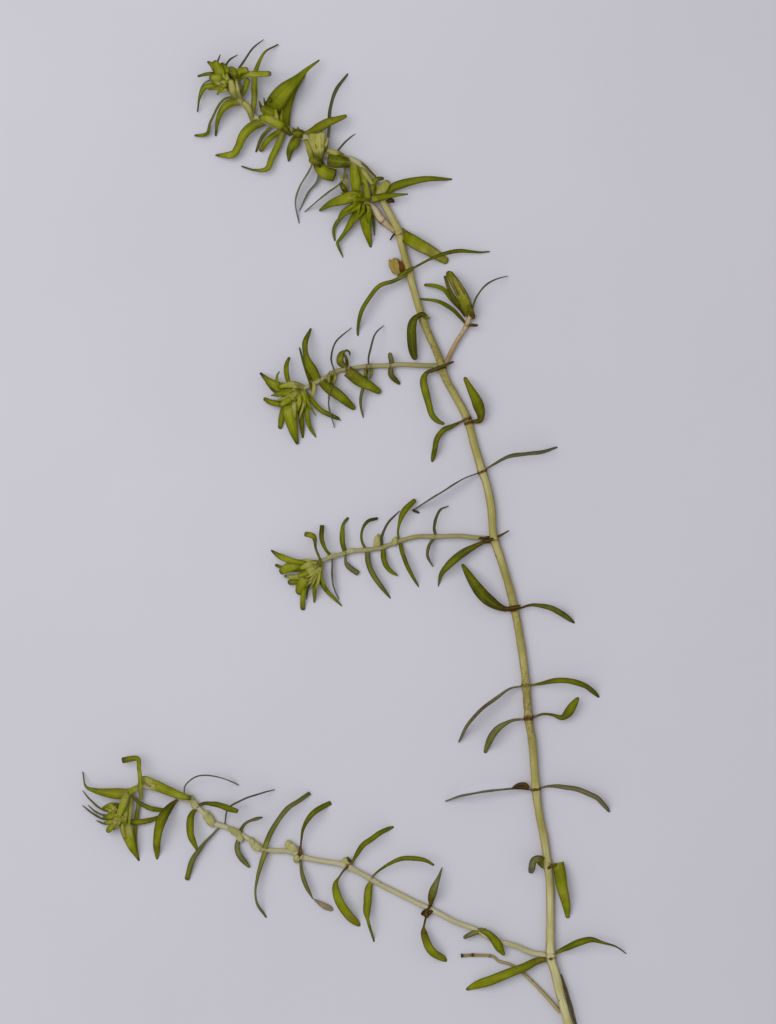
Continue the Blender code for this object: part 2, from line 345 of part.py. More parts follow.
SIDE_LEAVES = [
    Leaf([(366, 203.5), (356, 198), (343, 200.5), (330, 204.5), (319, 210.5)],
         (1.1, 1.75, 1.6, 1.0, 0.3), (1.5, 1.4, 0.3)),
    Leaf([(362, 203), (364.5, 218), (367.5, 232), (370.8, 247)], (1.4, 1.65, 1.2, 0.3), (1.0, 0.8, 0.0)),
    Leaf([(364, 205), (355, 208), (345, 213), (339, 221)], (1.0, 1.35, 1.1, 0.6), (1.3, 1.2)),
    Leaf([(360, 206), (349, 226), (340, 239), (337.6, 244), (343, 257)],
         (0.8, 1.0, 0.65, 0.5, 0.15), (0.6, 0.5, 0.0), (15, 25, 40)),
    Leaf([(358, 205), (344, 214), (336.5, 223), (333.5, 231), (334.8, 240.5)], 0.6, (0.3, 0.0), (10,)),
    Leaf([(372, 208), (373.5, 222), (374.5, 235)], 0.55, (0.3, 0.0), (40,)),
]
SIDE_BUD = Bud((360.5, 203.5), 1.9, 1.5, 0.5, 10)

LOWER_TIP_LEAVES = [
    Leaf([(138, 788), (144, 780), (155, 783), (168, 789.5), (180, 794.5), (192, 797.3)],
         (0.5, 1.0, 1.4, 1.35, 1.1, 0.65), (1.4, 1.5, 1.4)),
    Leaf([(138.5, 788.5), (141.3, 782), (140, 768), (138, 757.5), (122, 760.5)],
         (0.65, 0.6, 0.65, 0.85, 0.85), (1.7, 1.5, 0.8), (20, 10, 0)),
    Leaf([(131, 793.5), (120, 793.5), (107, 792.3), (95, 789.5), (86, 785.5), (82, 772)],
         (1.2, 1.6, 1.3, 0.75, 0.3, 0.15), (1.2, 1.3, 0.2)),
    Leaf([(117, 812), (103, 809), (92, 801), (82, 791)], 0.65, (0.9, 0.7, 0.2), (68,)),
    Leaf([(116, 815), (107.7, 814.7), (98, 812), (88, 805)], 0.65, (1.3, 1.2, 0.7), (68,)),
    Leaf([(115, 817), (105, 819), (95, 815), (81.5, 806)], 0.65, (0.6, 0.3, 0.0), (68,)),
    Leaf([(117, 820), (107, 824), (95.5, 821)], 0.65, (0.5, 0.2), (68,)),
    Leaf([(116, 820), (112, 826), (107, 832)], (0.8, 0.9, 0.75), (1.1, 0.8), (10,)),
    Leaf([(121, 812), (126, 827), (132, 845), (138.5, 862)], (1.3, 1.75, 1.2, 0.3), (1.2, 0.9, 0.0)),
    Leaf([(127, 797), (136, 806), (136, 818), (134.5, 838), (136.8, 857)],
         (0.5, 0.6, 0.6, 0.6, 0.3), (0.3, 0.2, 0.0), (15,)),
    Leaf([(128, 793.5), (134, 798.5), (141, 803.5), (151, 808.5), (164, 811)],
         (0.3, 0.4, 0.7, 0.75, 0.6), (0.6, 0.6, 0.2), (15,)),
    Leaf([(121, 818), (134, 822.3), (148, 821), (158.5, 817.5)], (0.7, 0.85, 0.8, 0.5),
         (0.5, 0.5, 0.1), (10,)),
]
LOWER_TIP_STEM = Stem(
    route=[(142.2, 786.4), (135.7, 789), (127, 794.5), (121.7, 805), (117, 815)],
    radii=(0.3, 0.38, 0.34), heights=(0.4, 0.3, 0.5), points=7, sides=BRANCH_SIDES)
LOWER_TIP_BUD = Bud((117, 815), 2.0, 1.7, 0.4, 70)

MAIN_BUD = Bud((398.2, 268), 1.9, 1.5, 0.2, 0)

# Colours, and how rough a living and a dead surface are
STRAW_GREEN = (0.42, 0.39, 0.15)
PALE_STRAW = (0.5, 0.46, 0.2)
OLIVE_GREEN = (0.09, 0.11, 0.015)
BRIGHT_GREEN = (0.2, 0.24, 0.01)
TIP_GREEN = (0.28, 0.32, 0.03)
BROWN = (0.16, 0.09, 0.03)
STEM_ROUGHNESS = 0.35
LEAF_ROUGHNESS = 0.4
DEAD_ROUGHNESS = 0.6
BRIGHT_LEAVES = ("leaf_01_left", "leaf_02_right", "leaf_13_right", "lower_leaf_01_lower",
                 "lower_leaf_03_lower", "top_leaf_3", "top_leaf_4")


def clear_scene():
    for existing in list(bpy.data.objects):
        bpy.data.objects.remove(existing)


def make_collection(name):
    collection = bpy.data.collections.new(name)
    bpy.context.scene.collection.children.link(collection)
    return collection


def make_material(name, colour, roughness):
    material = bpy.data.materials.new(name)
    material.use_nodes = True
    shader = material.node_tree.nodes["Principled BSDF"]
    shader.inputs["Base Color"].default_value = (*colour, 1.0)
    shader.inputs["Roughness"].default_value = roughness
    return material


def station(values, t):
    """The numbers on both sides of t, from 0 to 1, among even stations, and the share between them."""
    place = min(max(t, 0.0), 1.0) * (len(values) - 1)
    first = min(int(place), len(values) - 2)
    return values[first], values[first + 1], place - first


def along(values, t):
    """Value at t, from 0 to 1, of numbers that stand at even stations."""
    if len(values) == 1:
        return values[0]
    start, end, share = station(values, t)
    return start + (end - start) * share


def eased(values, t):
    """As along, but passing each station level, so that heights make soft waves."""
    start, end, share = station(values, t)
    return start + (end - start) * share * share * (3 - 2 * share)


def outline_share(t):
    for (t0, share0), (t1, share1) in zip(LEAF_OUTLINE, LEAF_OUTLINE[1:]):
        if t <= t1:
            return share0 + (share1 - share0) * (t - t0) / (t1 - t0)
    return LEAF_OUTLINE[-1][1]


def to_millimetres(pixel):
    return Vector(((pixel[0] - ORIGIN_PIXEL[0]) / PIXELS_PER_MM,
                   (ORIGIN_PIXEL[1] - pixel[1]) / PIXELS_PER_MM))


def smooth_route(pixels):
    """A Catmull-Rom curve through the route's points, in millimetres, with its running length."""
    knots = [to_millimetres(pixel) for pixel in pixels]
    knots = [knots[0] * 2 - knots[1], *knots, knots[-1] * 2 - knots[-2]]
    points = [knots[1]]
    for before, start, end, after in zip(knots, knots[1:], knots[2:], knots[3:]):
        for step in range(1, ROUTE_STEPS + 1):
            s = step / ROUTE_STEPS
            points.append(0.5 * (2 * start + (end - before) * s
                                 + (2 * before - 5 * start + 4 * end - after) * s ** 2
                                 + (3 * start - before - 3 * end + after) * s ** 3))
    lengths = [0.0]
    for first, second in zip(points, points[1:]):
        lengths.append(lengths[-1] + (second - first).length)
    return points, lengths


def point_at(points, lengths, t):
    target = t * lengths[-1]
    for index in range(1, len(lengths)):
        if lengths[index] >= target:
            share = (target - lengths[index - 1]) / (lengths[index] - lengths[index - 1])
            return points[index - 1].lerp(points[index], share)
    return points[-1]


def curve_object(name, points, radii, tilts, collection):
    """A poly curve with flat ends; points are in millimetres."""
    curve = bpy.data.curves.new(name, "CURVE")
    curve.dimensions = "3D"
    curve.twist_mode = "Z_UP"
    curve.use_fill_caps = True
    curve.render_resolution_u = 0
    spline = curve.splines.new("POLY")
    spline.points.add(len(points) - 1)
    for knot, point, radius, tilt in zip(spline.points, points, radii, tilts):
        knot.co = (*(point * MM), 1.0)
        knot.radius = radius
        knot.tilt = tilt
    made = bpy.data.objects.new(name, curve)
    collection.objects.link(made)
    return made


def stem_line(stem):
    """Centre line of a stem in millimetres: it lies as high as its radius and the air under it."""
    points, lengths = smooth_route(stem.route)
    line = []
    for index in range(stem.points):
        t = index / (stem.points - 1)
        flat = point_at(points, lengths, t)
        line.append(Vector((flat.x, flat.y, eased(stem.heights, t) + along(stem.radii, t))))
    return line


def make_stem(name, stem, collection):
    """A round tube of one metre radius, brought to its size by the radius at each point."""
    radii = [along(stem.radii, index / (stem.points - 1)) * MM for index in range(stem.points)]
    made = curve_object(name, stem_line(stem), radii, [0.0] * stem.points, collection)
    made.data.bevel_depth = 1.0
    made.data.bevel_resolution = stem.sides // 2 - 2
    return made


def make_leaf_profile(collection):
    """Cross section of every blade, one metre wide: a flat diamond, thickest on the midrib."""
    curve = bpy.data.curves.new("leaf_profile", "CURVE")
    curve.dimensions = "2D"
    spline = curve.splines.new("POLY")
    spline.points.add(3)
    half_thickness = LEAF_THICKNESS_RATIO / 2
    corners = ((0.5, 0.0), (0.0, -half_thickness), (-0.5, 0.0), (0.0, half_thickness))
    for knot, corner in zip(spline.points, corners):
        knot.co = (*corner, 0.0, 1.0)
    spline.use_cyclic_u = True
    profile = bpy.data.objects.new("leaf_profile", curve)
    profile.hide_render = True
    profile.display_type = "WIRE"
    collection.objects.link(profile)
    return profile


def leaf_width(leaf, t):
    """A single width swells along the common outline; a row of them is read at even stations."""
    if isinstance(leaf.width, tuple):
        return along(leaf.width, t)
    return leaf.width * outline_share(t)


def nearest_height(flat, line):
    return min(line, key=lambda point: (point.xy - flat).length).z


def make_leaf(name, leaf, line, stations, profile, collection):
    """A blade that starts level with its stem's centre line, or at its own rise above the surface."""
    points, lengths = smooth_route(leaf.route)
    start_height = leaf.rise if leaf.rise is not None else nearest_height(points[0], line)
    spots, widths, tilts = [], [], []
    for t in stations:
        flat = point_at(points, lengths, t)
        width = leaf_width(leaf, t)
        roll = math.radians(along(leaf.roll, t))
        half_height = width / 2 * max(math.sin(roll), LEAF_THICKNESS_RATIO * math.cos(roll))
        heights = (start_height - half_height, *(LEAF_LIFT * height for height in leaf.heights))
        spots.append(Vector((flat.x, flat.y, eased(heights, t) + half_height)))
        widths.append(width * MM)
        tilts.append(roll)
    made = curve_object(name, spots, widths, tilts, collection)
    made.data.bevel_mode = "OBJECT"
    made.data.bevel_object = profile
    return made


def make_bud(name, bud, collection):
    flat = to_millimetres(bud.place)
    bpy.ops.mesh.primitive_uv_sphere_add(segments=BUD_SEGMENTS, ring_count=BUD_RINGS, radius=0.5)
    made = bpy.context.object
    made.name = name
    made.scale = (bud.length * MM, bud.breadth * MM, bud.breadth * MM)
    made.rotation_euler = (0.0, 0.0, math.radians(bud.turn))
    made.location = (flat.x * MM, flat.y * MM, (bud.height + bud.breadth / 2) * MM)
    for owner in list(made.users_collection):
        owner.objects.unlink(made)
    collection.objects.link(made)
    return made


def as_mesh(made, collection):
    """The same shape as a welded mesh of triangles in world space, in place of the curve or primitive."""
    bpy.context.view_layer.update()
    evaluated = made.evaluated_get(bpy.context.evaluated_depsgraph_get())
    mesh = bpy.data.meshes.new_from_object(evaluated)
    mesh.transform(made.matrix_world)
    work = bmesh.new()
    work.from_mesh(mesh)
    bmesh.ops.remove_doubles(work, verts=work.verts, dist=WELD_DISTANCE)
    bmesh.ops.triangulate(work, faces=work.faces)
    bmesh.ops.recalc_face_normals(work, faces=work.faces)
    work.to_mesh(mesh)
    work.free()
    name = made.name
    bpy.data.objects.remove(made)
    solid = bpy.data.objects.new(name, mesh)
    collection.objects.link(solid)
    return solid


def fuse(name, solids, collection, cutters):
    """One body: the first solid with the others joined on."""
    body = as_mesh(solids[0], collection)
    body.name = name
    for index, solid in enumerate(solids[1:]):
        joined = as_mesh(solid, cutters)
        joined.hide_render = True
        joined.display_type = "WIRE"
        union = body.modifiers.new(f"join_{index}", "BOOLEAN")
        union.operation = "UNION"
        union.solver = "EXACT"
        union.object = joined
    return body


def make_spray():
    clear_scene()
    spray = make_collection("water_starwort")
    cutters = make_collection("joined_shapes")
    profile = make_leaf_profile(cutters)
    stem_green = make_material("stem_green", STRAW_GREEN, STEM_ROUGHNESS)
    pale_green = make_material("pale_stem_green", PALE_STRAW, STEM_ROUGHNESS)
    leaf_green = make_material("leaf_green", OLIVE_GREEN, LEAF_ROUGHNESS)
    bright_green = make_material("bright_leaf_green", BRIGHT_GREEN, LEAF_ROUGHNESS)
    tip_green = make_material("tip_green", TIP_GREEN, LEAF_ROUGHNESS)
    dead_brown = make_material("dead_brown", BROWN, DEAD_ROUGHNESS)

    def single_leaves(leaves, line):
        for name, leaf in leaves.items():
            made = make_leaf(name, leaf, line, LEAF_STATIONS, profile, spray)
            made.data.materials.append(bright_green if name in BRIGHT_LEAVES else leaf_green)

    def leafy_piece(name, stem, leaves, bud, material):
        solids = [make_stem(name, stem, spray)] if stem else []
        line = stem_line(stem) if stem else [Vector((*to_millimetres(bud.place), ROSETTE_HEIGHT))]
        if bud:
            solids.append(make_bud(f"{name}_bud", bud, cutters))
        for index, leaf in enumerate(leaves):
            stations = JOINED_LEAF_STATIONS[min(len(leaf.route), max(JOINED_LEAF_STATIONS))]
            solids.append(make_leaf(f"{name}_leaf_{index}", leaf, line, stations, profile, cutters))
        fuse(name, solids, spray, cutters).data.materials.append(material)

    leafy_piece("main_stem", MAIN_STEM, [], MAIN_BUD, stem_green)
    single_leaves(MAIN_LEAVES, stem_line(MAIN_STEM))
    make_stem("lower_branch", LOWER_STEM, spray).data.materials.append(stem_green)
    single_leaves(LOWER_LEAVES, stem_line(LOWER_STEM))
    leafy_piece("lower_tip", LOWER_TIP_STEM, LOWER_TIP_LEAVES, LOWER_TIP_BUD, tip_green)
    leafy_piece("middle_branch", MIDDLE_STEM, MIDDLE_LEAVES, None, pale_green)
    leafy_piece("middle_tip", None, MIDDLE_TIP_LEAVES, MIDDLE_TIP_BUD, tip_green)
    leafy_piece("upper_branch", UPPER_STEM, UPPER_LEAVES, None, pale_green)
    leafy_piece("upper_tip", None, UPPER_TIP_LEAVES, UPPER_TIP_BUD, tip_green)
    leafy_piece("right_shoot", RIGHT_STEM, RIGHT_LEAVES, RIGHT_BUD, bright_green)
    leafy_piece("side_shoot", SIDE_STEM, SIDE_LEAVES, SIDE_BUD, bright_green)
    make_stem("broken_shoot", BROKEN_STEM, spray).data.materials.append(dead_brown)
    leafy_piece("growing_tip", GROWING_TIP_STEM, GROWING_TIP_LEAVES, GROWING_TIP_BUD, tip_green)
    single_leaves(TOP_LEAVES, stem_line(GROWING_TIP_STEM))


make_spray()
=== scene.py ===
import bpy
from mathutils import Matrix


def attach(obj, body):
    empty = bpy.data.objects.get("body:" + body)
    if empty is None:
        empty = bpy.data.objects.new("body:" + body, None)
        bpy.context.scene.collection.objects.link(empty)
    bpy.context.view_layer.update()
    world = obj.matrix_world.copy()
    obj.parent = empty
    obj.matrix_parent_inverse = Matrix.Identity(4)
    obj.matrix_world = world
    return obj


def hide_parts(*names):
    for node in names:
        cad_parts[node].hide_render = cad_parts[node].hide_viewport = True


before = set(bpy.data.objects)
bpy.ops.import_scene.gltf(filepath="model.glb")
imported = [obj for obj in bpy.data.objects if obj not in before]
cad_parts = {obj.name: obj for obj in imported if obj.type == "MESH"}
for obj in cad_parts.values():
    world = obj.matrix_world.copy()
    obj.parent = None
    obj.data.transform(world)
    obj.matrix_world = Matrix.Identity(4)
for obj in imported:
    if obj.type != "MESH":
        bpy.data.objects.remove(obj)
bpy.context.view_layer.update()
import zlib

import bpy
import numpy as np
from mathutils import Vector

# A water starwort spray lying flat. Sizes are millimetres until a mesh is made, then metres.
print("frame:", len(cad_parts), "nodes")

# Routes are points of the photograph; one millimetre is seven of its pixels
photo = {"pixelsPerMm": 7.0, "origin": (354.3, 541.5), "width": 776, "height": 1024}
mm = 0.001
up = np.array((0.0, 0.0, 1.0))
phases = (0, 6.28)  # a wave by seed starts anywhere in its turn
leastHeight = 0.002  # nothing dips under the table
stepsPerSpan = 24  # of a curve, between two points of its route


# Shape maths

def inMm(pixels):
    # Places of the photograph in millimetres, x to the right and y up
    return (np.array(pixels, float) - photo["origin"]) * (1, -1) / photo["pixelsPerMm"]


def unit(vectors):
    return vectors / np.linalg.norm(vectors, axis=-1, keepdims=True)


def smoothRoute(pixels):
    # Catmull-Rom curve through the points, in millimetres, and its running length
    knots = inMm(pixels)
    knots = np.vstack([2 * knots[0] - knots[1], knots, 2 * knots[-1] - knots[-2]])
    before, start, end, after = knots[:-3], knots[1:-2], knots[2:-1], knots[3:]
    s = np.linspace(0, 1, stepsPerSpan + 1)[1:, None, None]
    spans = 0.5 * (2 * start + (end - before) * s + (2 * before - 5 * start + 4 * end - after) * s ** 2
                   + (3 * start - before - 3 * end + after) * s ** 3)
    points = np.vstack([knots[1], spans.transpose(1, 0, 2).reshape(-1, 2)])
    lengths = np.append(0, np.cumsum(np.linalg.norm(np.diff(points, axis=0), axis=1)))
    return points, lengths


def alongRoute(route, t):
    # Place at share t of the length; past either end it goes straight on
    points, lengths = route
    flat = np.stack([np.interp(t * lengths[-1], lengths, points[:, axis]) for axis in (0, 1)], axis=1)
    first = unit(points[1] - points[0])
    last = unit(points[-1] - points[-2])
    return flat + lengths[-1] * (np.minimum(t, 0)[:, None] * first + np.maximum(t - 1, 0)[:, None] * last)


def evenly(values, t):
    # Straight lines between values that stand at even stations
    values = np.atleast_1d(np.array(values, float))
    return np.interp(t, np.linspace(0, 1, len(values)), values) if len(values) > 1 else values[0] + 0 * t


def inWaves(values, t):
    # Smoothstep between even stations, level at each, so heights make soft waves
    values = np.array(values, float)
    place = np.clip(t, 0, 1) * (len(values) - 1)
    first = np.minimum(place.astype(int), len(values) - 2)
    s = place - first
    return values[first] + (values[first + 1] - values[first]) * s * s * (3 - 2 * s)


def roundly(stations, values, t):
    # Cubic Hermite curve through the values, with slopes taken from their neighbours
    stations, values = np.array(stations, float), np.array(values, float)
    slopes = np.gradient(values, stations)
    i = np.clip(np.searchsorted(stations, t, side="right") - 1, 0, len(stations) - 2)
    span = stations[i + 1] - stations[i]
    s = np.clip((t - stations[i]) / span, 0, 1)
    return ((2 * s ** 3 - 3 * s ** 2 + 1) * values[i] + (s ** 3 - 2 * s ** 2 + s) * span * slopes[i]
            + (3 * s ** 2 - 2 * s ** 3) * values[i + 1] + (s ** 3 - s ** 2) * span * slopes[i + 1])


def seeded(name):
    return np.random.default_rng(zlib.crc32(name.encode()))


def sweepFrame(line):
    # Along, sideways and upward directions at each point of a centre line
    forward = unit(np.gradient(line, axis=0))
    side = unit(np.cross(forward, up))
    return forward, side, np.cross(side, forward)


def overGrid(shape, *channels):
    # Channels that vary along, across or not at all, as one row of values a point
    spread = [np.broadcast_to(channel, shape) for channel in channels]
    return np.stack(spread, axis=-1).reshape(-1, len(channels))


def closedSweep(points, capStart, capEnd):
    # Faces of a grid that closes round on itself, with a fan over each end; turned to face outwards
    points = np.maximum(points, (-np.inf, -np.inf, leastHeight))
    rows, around = points.shape[:2]
    index = np.arange(rows * around).reshape(rows, around)
    nextIndex = np.roll(index, -1, axis=1)
    quads = np.stack([index[:-1], index[1:], nextIndex[1:], nextIndex[:-1]], axis=-1).reshape(-1, 4)
    startFan = np.stack([index[0], nextIndex[0], np.full(around, rows * around)], axis=-1)
    endFan = np.stack([nextIndex[-1], index[-1], np.full(around, rows * around + 1)], axis=-1)
    everyPoint = np.vstack([points.reshape(-1, 3), capStart, capEnd])
    fans = np.vstack([startFan, endFan])
    triangles = np.vstack([quads[:, :3], quads[:, [0, 2, 3]], fans])
    a, b, c = (everyPoint[triangles[:, corner]] for corner in range(3))
    if np.einsum("ij,ij->i", a, np.cross(b, c)).sum() < 0:
        quads, fans = quads[:, ::-1], fans[:, ::-1]
    return everyPoint, quads, fans


def sheetOf(sweep, grain, traits, dusk):
    # One closed surface and what its material reads; both caps take the traits of their end
    points, quads, fans = sweep
    traits = np.vstack([traits, traits[0], traits[-1]])
    return {"points": points, "quads": quads, "fans": fans, "grain": grain, "traits": traits, "dusk": dusk}


# What every blade shares; widths are shares of the leaf's own width
bladeForm = {
    "blunt": ((0, 0.12, 0.3, 0.5, 0.75, 0.92, 1), (0.38, 0.62, 0.95, 1, 0.95, 0.72, 0.35)),
    "pointed": ((0, 0.12, 0.35, 0.6, 0.82, 0.93, 1), (0.75, 0.92, 1, 0.92, 0.66, 0.42, 0.16)),
    "wide": (-1, -0.95, -0.78, -0.54, -0.3, -0.12, 0, 0.12, 0.3, 0.54, 0.78, 0.95, 1),
    "narrow": (-1, -0.9, -0.5, -0.15, 0, 0.15, 0.5, 0.9, 1),
    "solidThickness": 0.24, "thickness": 0.13, "leastThickness": 0.08, "tipThickness": 0.25,
    "baseThicker": 0.5, "baseShare": 0.05, "edgeThinner": 0.25, "lift": 1.5,
    "ribDepth": 0.4, "ribWidth": 0.14, "keel": 1.5, "fold": 0.06, "foldRange": (0.5, 1.5), "foldRound": 0.01,
    "flutter": 0.03, "flutterWaves": (2.5, 4.5), "otherEdge": 0.8, "sway": 0.06, "swayWaves": 9,
    "notch": 0.3, "notchWidth": 0.4, "tipShare": 0.05, "longestTip": 0.2, "tipRound": 0.5,
    "tipMeasured": 0.97, "tipRows": 8, "tipTurn": 1.42, "leastRows": 10, "rowsInStem": 3, "rollShade": 0.6,
    "toneRange": 0.12, "brown": (0.25, 0, 0, 0, 0.1, 0.35),
}


def blade(route, width, air, **traits):
    return dict(route=route, width=width, air=air, **traits)


def bladeWidth(leaf, t):
    if isinstance(leaf["width"], tuple):
        return roundly(np.linspace(0, 1, len(leaf["width"])), leaf["width"], t)
    return leaf["width"] * roundly(*bladeForm[leaf.get("outline", "blunt")], t)


def bladeRows(length, step, tipShare):
    # Even rows, then rows that crowd towards the rounded tip
    body = np.linspace(0, 1 - tipShare, max(int(length / step), bladeForm["leastRows"]))
    crowded = np.sin(np.linspace(0, bladeForm["tipTurn"], bladeForm["tipRows"]))[1:]
    return np.append(body, 1 - tipShare + tipShare * crowded)


def bladeSheet(line, t, width, roll, leaf, name, columns):
    # A flat plate carried along the line: u runs from edge to edge, its thickness falls off only near the
    # edges, with a groove over the rib and a keel under it. It folds as |u| and flutters along the edges.
    rng = seeded(name)
    form = bladeForm
    forward, side, normal = sweepFrame(line)
    turn = roll[:, None]
    across = side * np.cos(turn) - normal * np.sin(turn)
    over = normal * np.cos(turn) + side * np.sin(turn)
    top = np.array(form[columns])
    u = np.concatenate([top, top[-2:0:-1]])
    face = np.concatenate([np.ones(len(top)), -np.ones(len(top) - 2)])
    face[[0, len(top) - 1]] = 0
    length = np.linalg.norm(np.diff(line, axis=0), axis=1).sum()
    tipShare = leaf.get("tipShare", form["tipShare"])
    e = np.clip((t - 1 + tipShare) / tipShare, 0, 1)
    rounded = np.sqrt(1 - (0.99 * e) ** 2)
    half = (width / 2 * rounded)[:, None]
    atBase = 1 + form["baseThicker"] * np.exp(-np.maximum(t, 0) / form["baseShare"])
    thickness = (np.maximum(width * form["thickness"], form["leastThickness"])
                 * (form["tipThickness"] + (1 - form["tipThickness"]) * rounded) * atBase)[:, None]
    thin = form["edgeThinner"]
    plate = np.sqrt(1 - u ** 8) * (1 - thin + thin * (1 - u ** 2)) * thickness / 2
    rib = np.exp(-(u / form["ribWidth"]) ** 2) * form["ribDepth"] * thickness / 2
    fold = leaf.get("fold", rng.uniform(*form["foldRange"]) * rng.choice((-1, 1))) * form["fold"]
    phase = rng.uniform(*phases, 2)
    waves = rng.uniform(*form["flutterWaves"]) * phases[1]
    wave = np.where(u < 0, np.sin(waves * t[:, None] + phase[0]),
                    np.sin(waves * form["otherEdge"] * t[:, None] + phase[1]))
    height = face * plate - rib * np.where(face > 0, 1, form["keel"]) * np.abs(face)
    height = height + half * 2 * (fold * (np.sqrt(u ** 2 + form["foldRound"]) - 0.5)
                                  + form["flutter"] * np.abs(u) ** 3 * wave)
    sway = 1 + form["sway"] * np.sin(form["swayWaves"] * t[:, None] + phase[1]) * np.sign(u)
    notch = np.exp(-(u / form["notchWidth"]) ** 2) * half * form["notch"] * e[:, None] ** 2
    points = (line[:, None] + across[:, None] * (u * half * sway)[..., None]
              + over[:, None] * height[..., None] - forward[:, None] * notch[..., None])
    if leaf.get("tone") is None:
        byChance = rng.uniform(-form["toneRange"], form["toneRange"])
        # Painted shade: a blade turned up onto its edge is darker
        tone = leaf["ground"] - form["rollShade"] * np.sin(roll) + byChance
    else:
        tone = evenly(leaf["tone"], t)
    brown = evenly(leaf.get("brown", form["brown"]), t)
    dusk = evenly(leaf["dusk"], t) if "dusk" in leaf else np.sin(roll)
    shape = (len(t), len(u))
    grain = overGrid(shape, u, face, (t * length)[:, None])
    traits = overGrid(shape, np.clip(t, 0, 1)[:, None], (tone + 0 * t)[:, None], brown[:, None], 1)
    sweep = closedSweep(points, points[0].mean(axis=0), points[-1].mean(axis=0))
    return sheetOf(sweep, np.vstack([grain, (0, 0, 0), (0, 0, length)]), traits,
                   np.append(np.repeat(dusk, len(u)), (0, 0)))


def leafSheet(name, leaf, stemCentre, columns="wide", step=0.16, intoStem=0.45):
    # The blade starts level with its stem's centre line and lies over the air under it
    form = bladeForm
    route = smoothRoute(leaf["route"])
    length = route[1][-1]
    endWidth = bladeWidth(leaf, np.array([form["tipMeasured"]]))[0]
    tipShare = min(leaf.get("tipRound", form["tipRound"]) * endWidth / length, form["longestTip"])
    t = bladeRows(length, step, tipShare)
    if intoStem:
        t = np.append(np.linspace(-intoStem / length, 0, form["rowsInStem"] + 1)[:-1], t)
    inside = np.clip(t, 0, 1)
    width = bladeWidth(leaf, inside)
    roll = np.radians(evenly(leaf.get("roll", 0), inside))
    halfHeight = width / 2 * np.maximum(np.sin(roll), form["solidThickness"] * np.cos(roll))
    lifted = form["lift"] * np.array(leaf["air"], float)
    nearest = np.argmin(np.linalg.norm(stemCentre[:, :2] - route[0][0], axis=1))
    startHeight = leaf.get("rise", stemCentre[nearest, 2])
    s = np.clip(inside * len(lifted), 0, 1)
    atStart = 1 - s * s * (3 - 2 * s)
    height = inWaves((startHeight, *lifted), inside) + halfHeight * (1 - atStart)
    line = np.column_stack([alongRoute(route, t), height])
    return bladeSheet(line, t, width, roll, dict(leaf, tipShare=tipShare), name, columns)


def smallBlade(name, leaf, centre):
    # A slim one that starts on its stem, not in it
    return leafSheet(name, leaf, centre, "narrow", step=0.14, intoStem=0)


def leafSpray(name, leaves, centre, ground):
    # Small blades of one piece; ground is the tone of those that give none
    usual = {"ground": ground, "outline": "pointed"}
    return [smallBlade(f"{name}{number}", dict(usual, **leaf), centre) for number, leaf in enumerate(leaves)]


def lyingStrips(strips):
    # They start as high as the air under them says, and not at the stem's own height
    return [dict(strip, rise=bladeForm["lift"] * strip["air"][0]) for strip in strips]


# How much the slim leaflets of a fan differ; bearings in radians, air in its own steps, roll in degrees
fanForm = {"bearing": 0.06, "bow": 0.1, "width": (0.7, 1.25), "air": 0.15, "roll": 25,
           "outline": (0.6, 1, 0.9, 0.3)}


def fanLeaves(name, fan):
    # Slim leaflets spread from one place between two bearings, with lengths and bows by seed, tones in turn
    rng = seeded(name)
    form = fanForm
    leaves = []
    for number, middle in enumerate(np.radians(np.linspace(*fan["bearings"], fan["count"]))):
        bearing = middle + rng.normal(0, form["bearing"])
        forward = np.array((np.cos(bearing), -np.sin(bearing)))
        across = forward[::-1] * (1, -1)
        reach = rng.uniform(*fan["reach"])
        start = fan["place"] + across * rng.uniform(-1, 1) * fan["spread"]
        bend = start + forward * reach * 0.5 + across * rng.uniform(-form["bow"], form["bow"]) * reach
        width = fan["width"] * rng.uniform(*form["width"])
        lifts = np.array(fan["air"]) + rng.uniform(-form["air"], form["air"])
        leaves.append(blade([start, bend, start + forward * reach],
                            tuple(share * width for share in form["outline"]), tuple(lifts),
                            roll=rng.uniform(-form["roll"], form["roll"]),
                            tone=fan["tones"][number % len(fan["tones"])], dusk=-1))
    return leaves


def stemCentreLine(stem, t):
    # It lies as high as its radius and the air under it
    flat = alongRoute(smoothRoute(stem["route"]), t)
    inside = np.clip(t, 0, 1)
    return np.column_stack([flat, inWaves(stem["air"], inside) + evenly(stem["radii"], inside)])


# What every stem shares
stemForm = {
    "around": 24, "step": 0.2, "ridges": 9, "ridgeDepth": 0.025, "ridgeTwist": (1.5, 7), "swell": 0.2,
    "swellLength": 0.45, "ringLength": 0.26, "lumps": 0.35, "ringStrength": (0.75, 0.35), "ringBrown": 0.3,
    "wobble": (0.025, 0.02), "raggedLength": 0.35, "raggedWaves": (0.6, 0.4), "searchSteps": 1500,
}
# Points of a centre line among which a leaf finds its stem's height
centrePoints = {"stem": 400, "branch": 200, "shoot": 80}


def centreOf(stem, kind):
    return stemCentreLine(stem, np.linspace(0, 1, centrePoints[kind]))


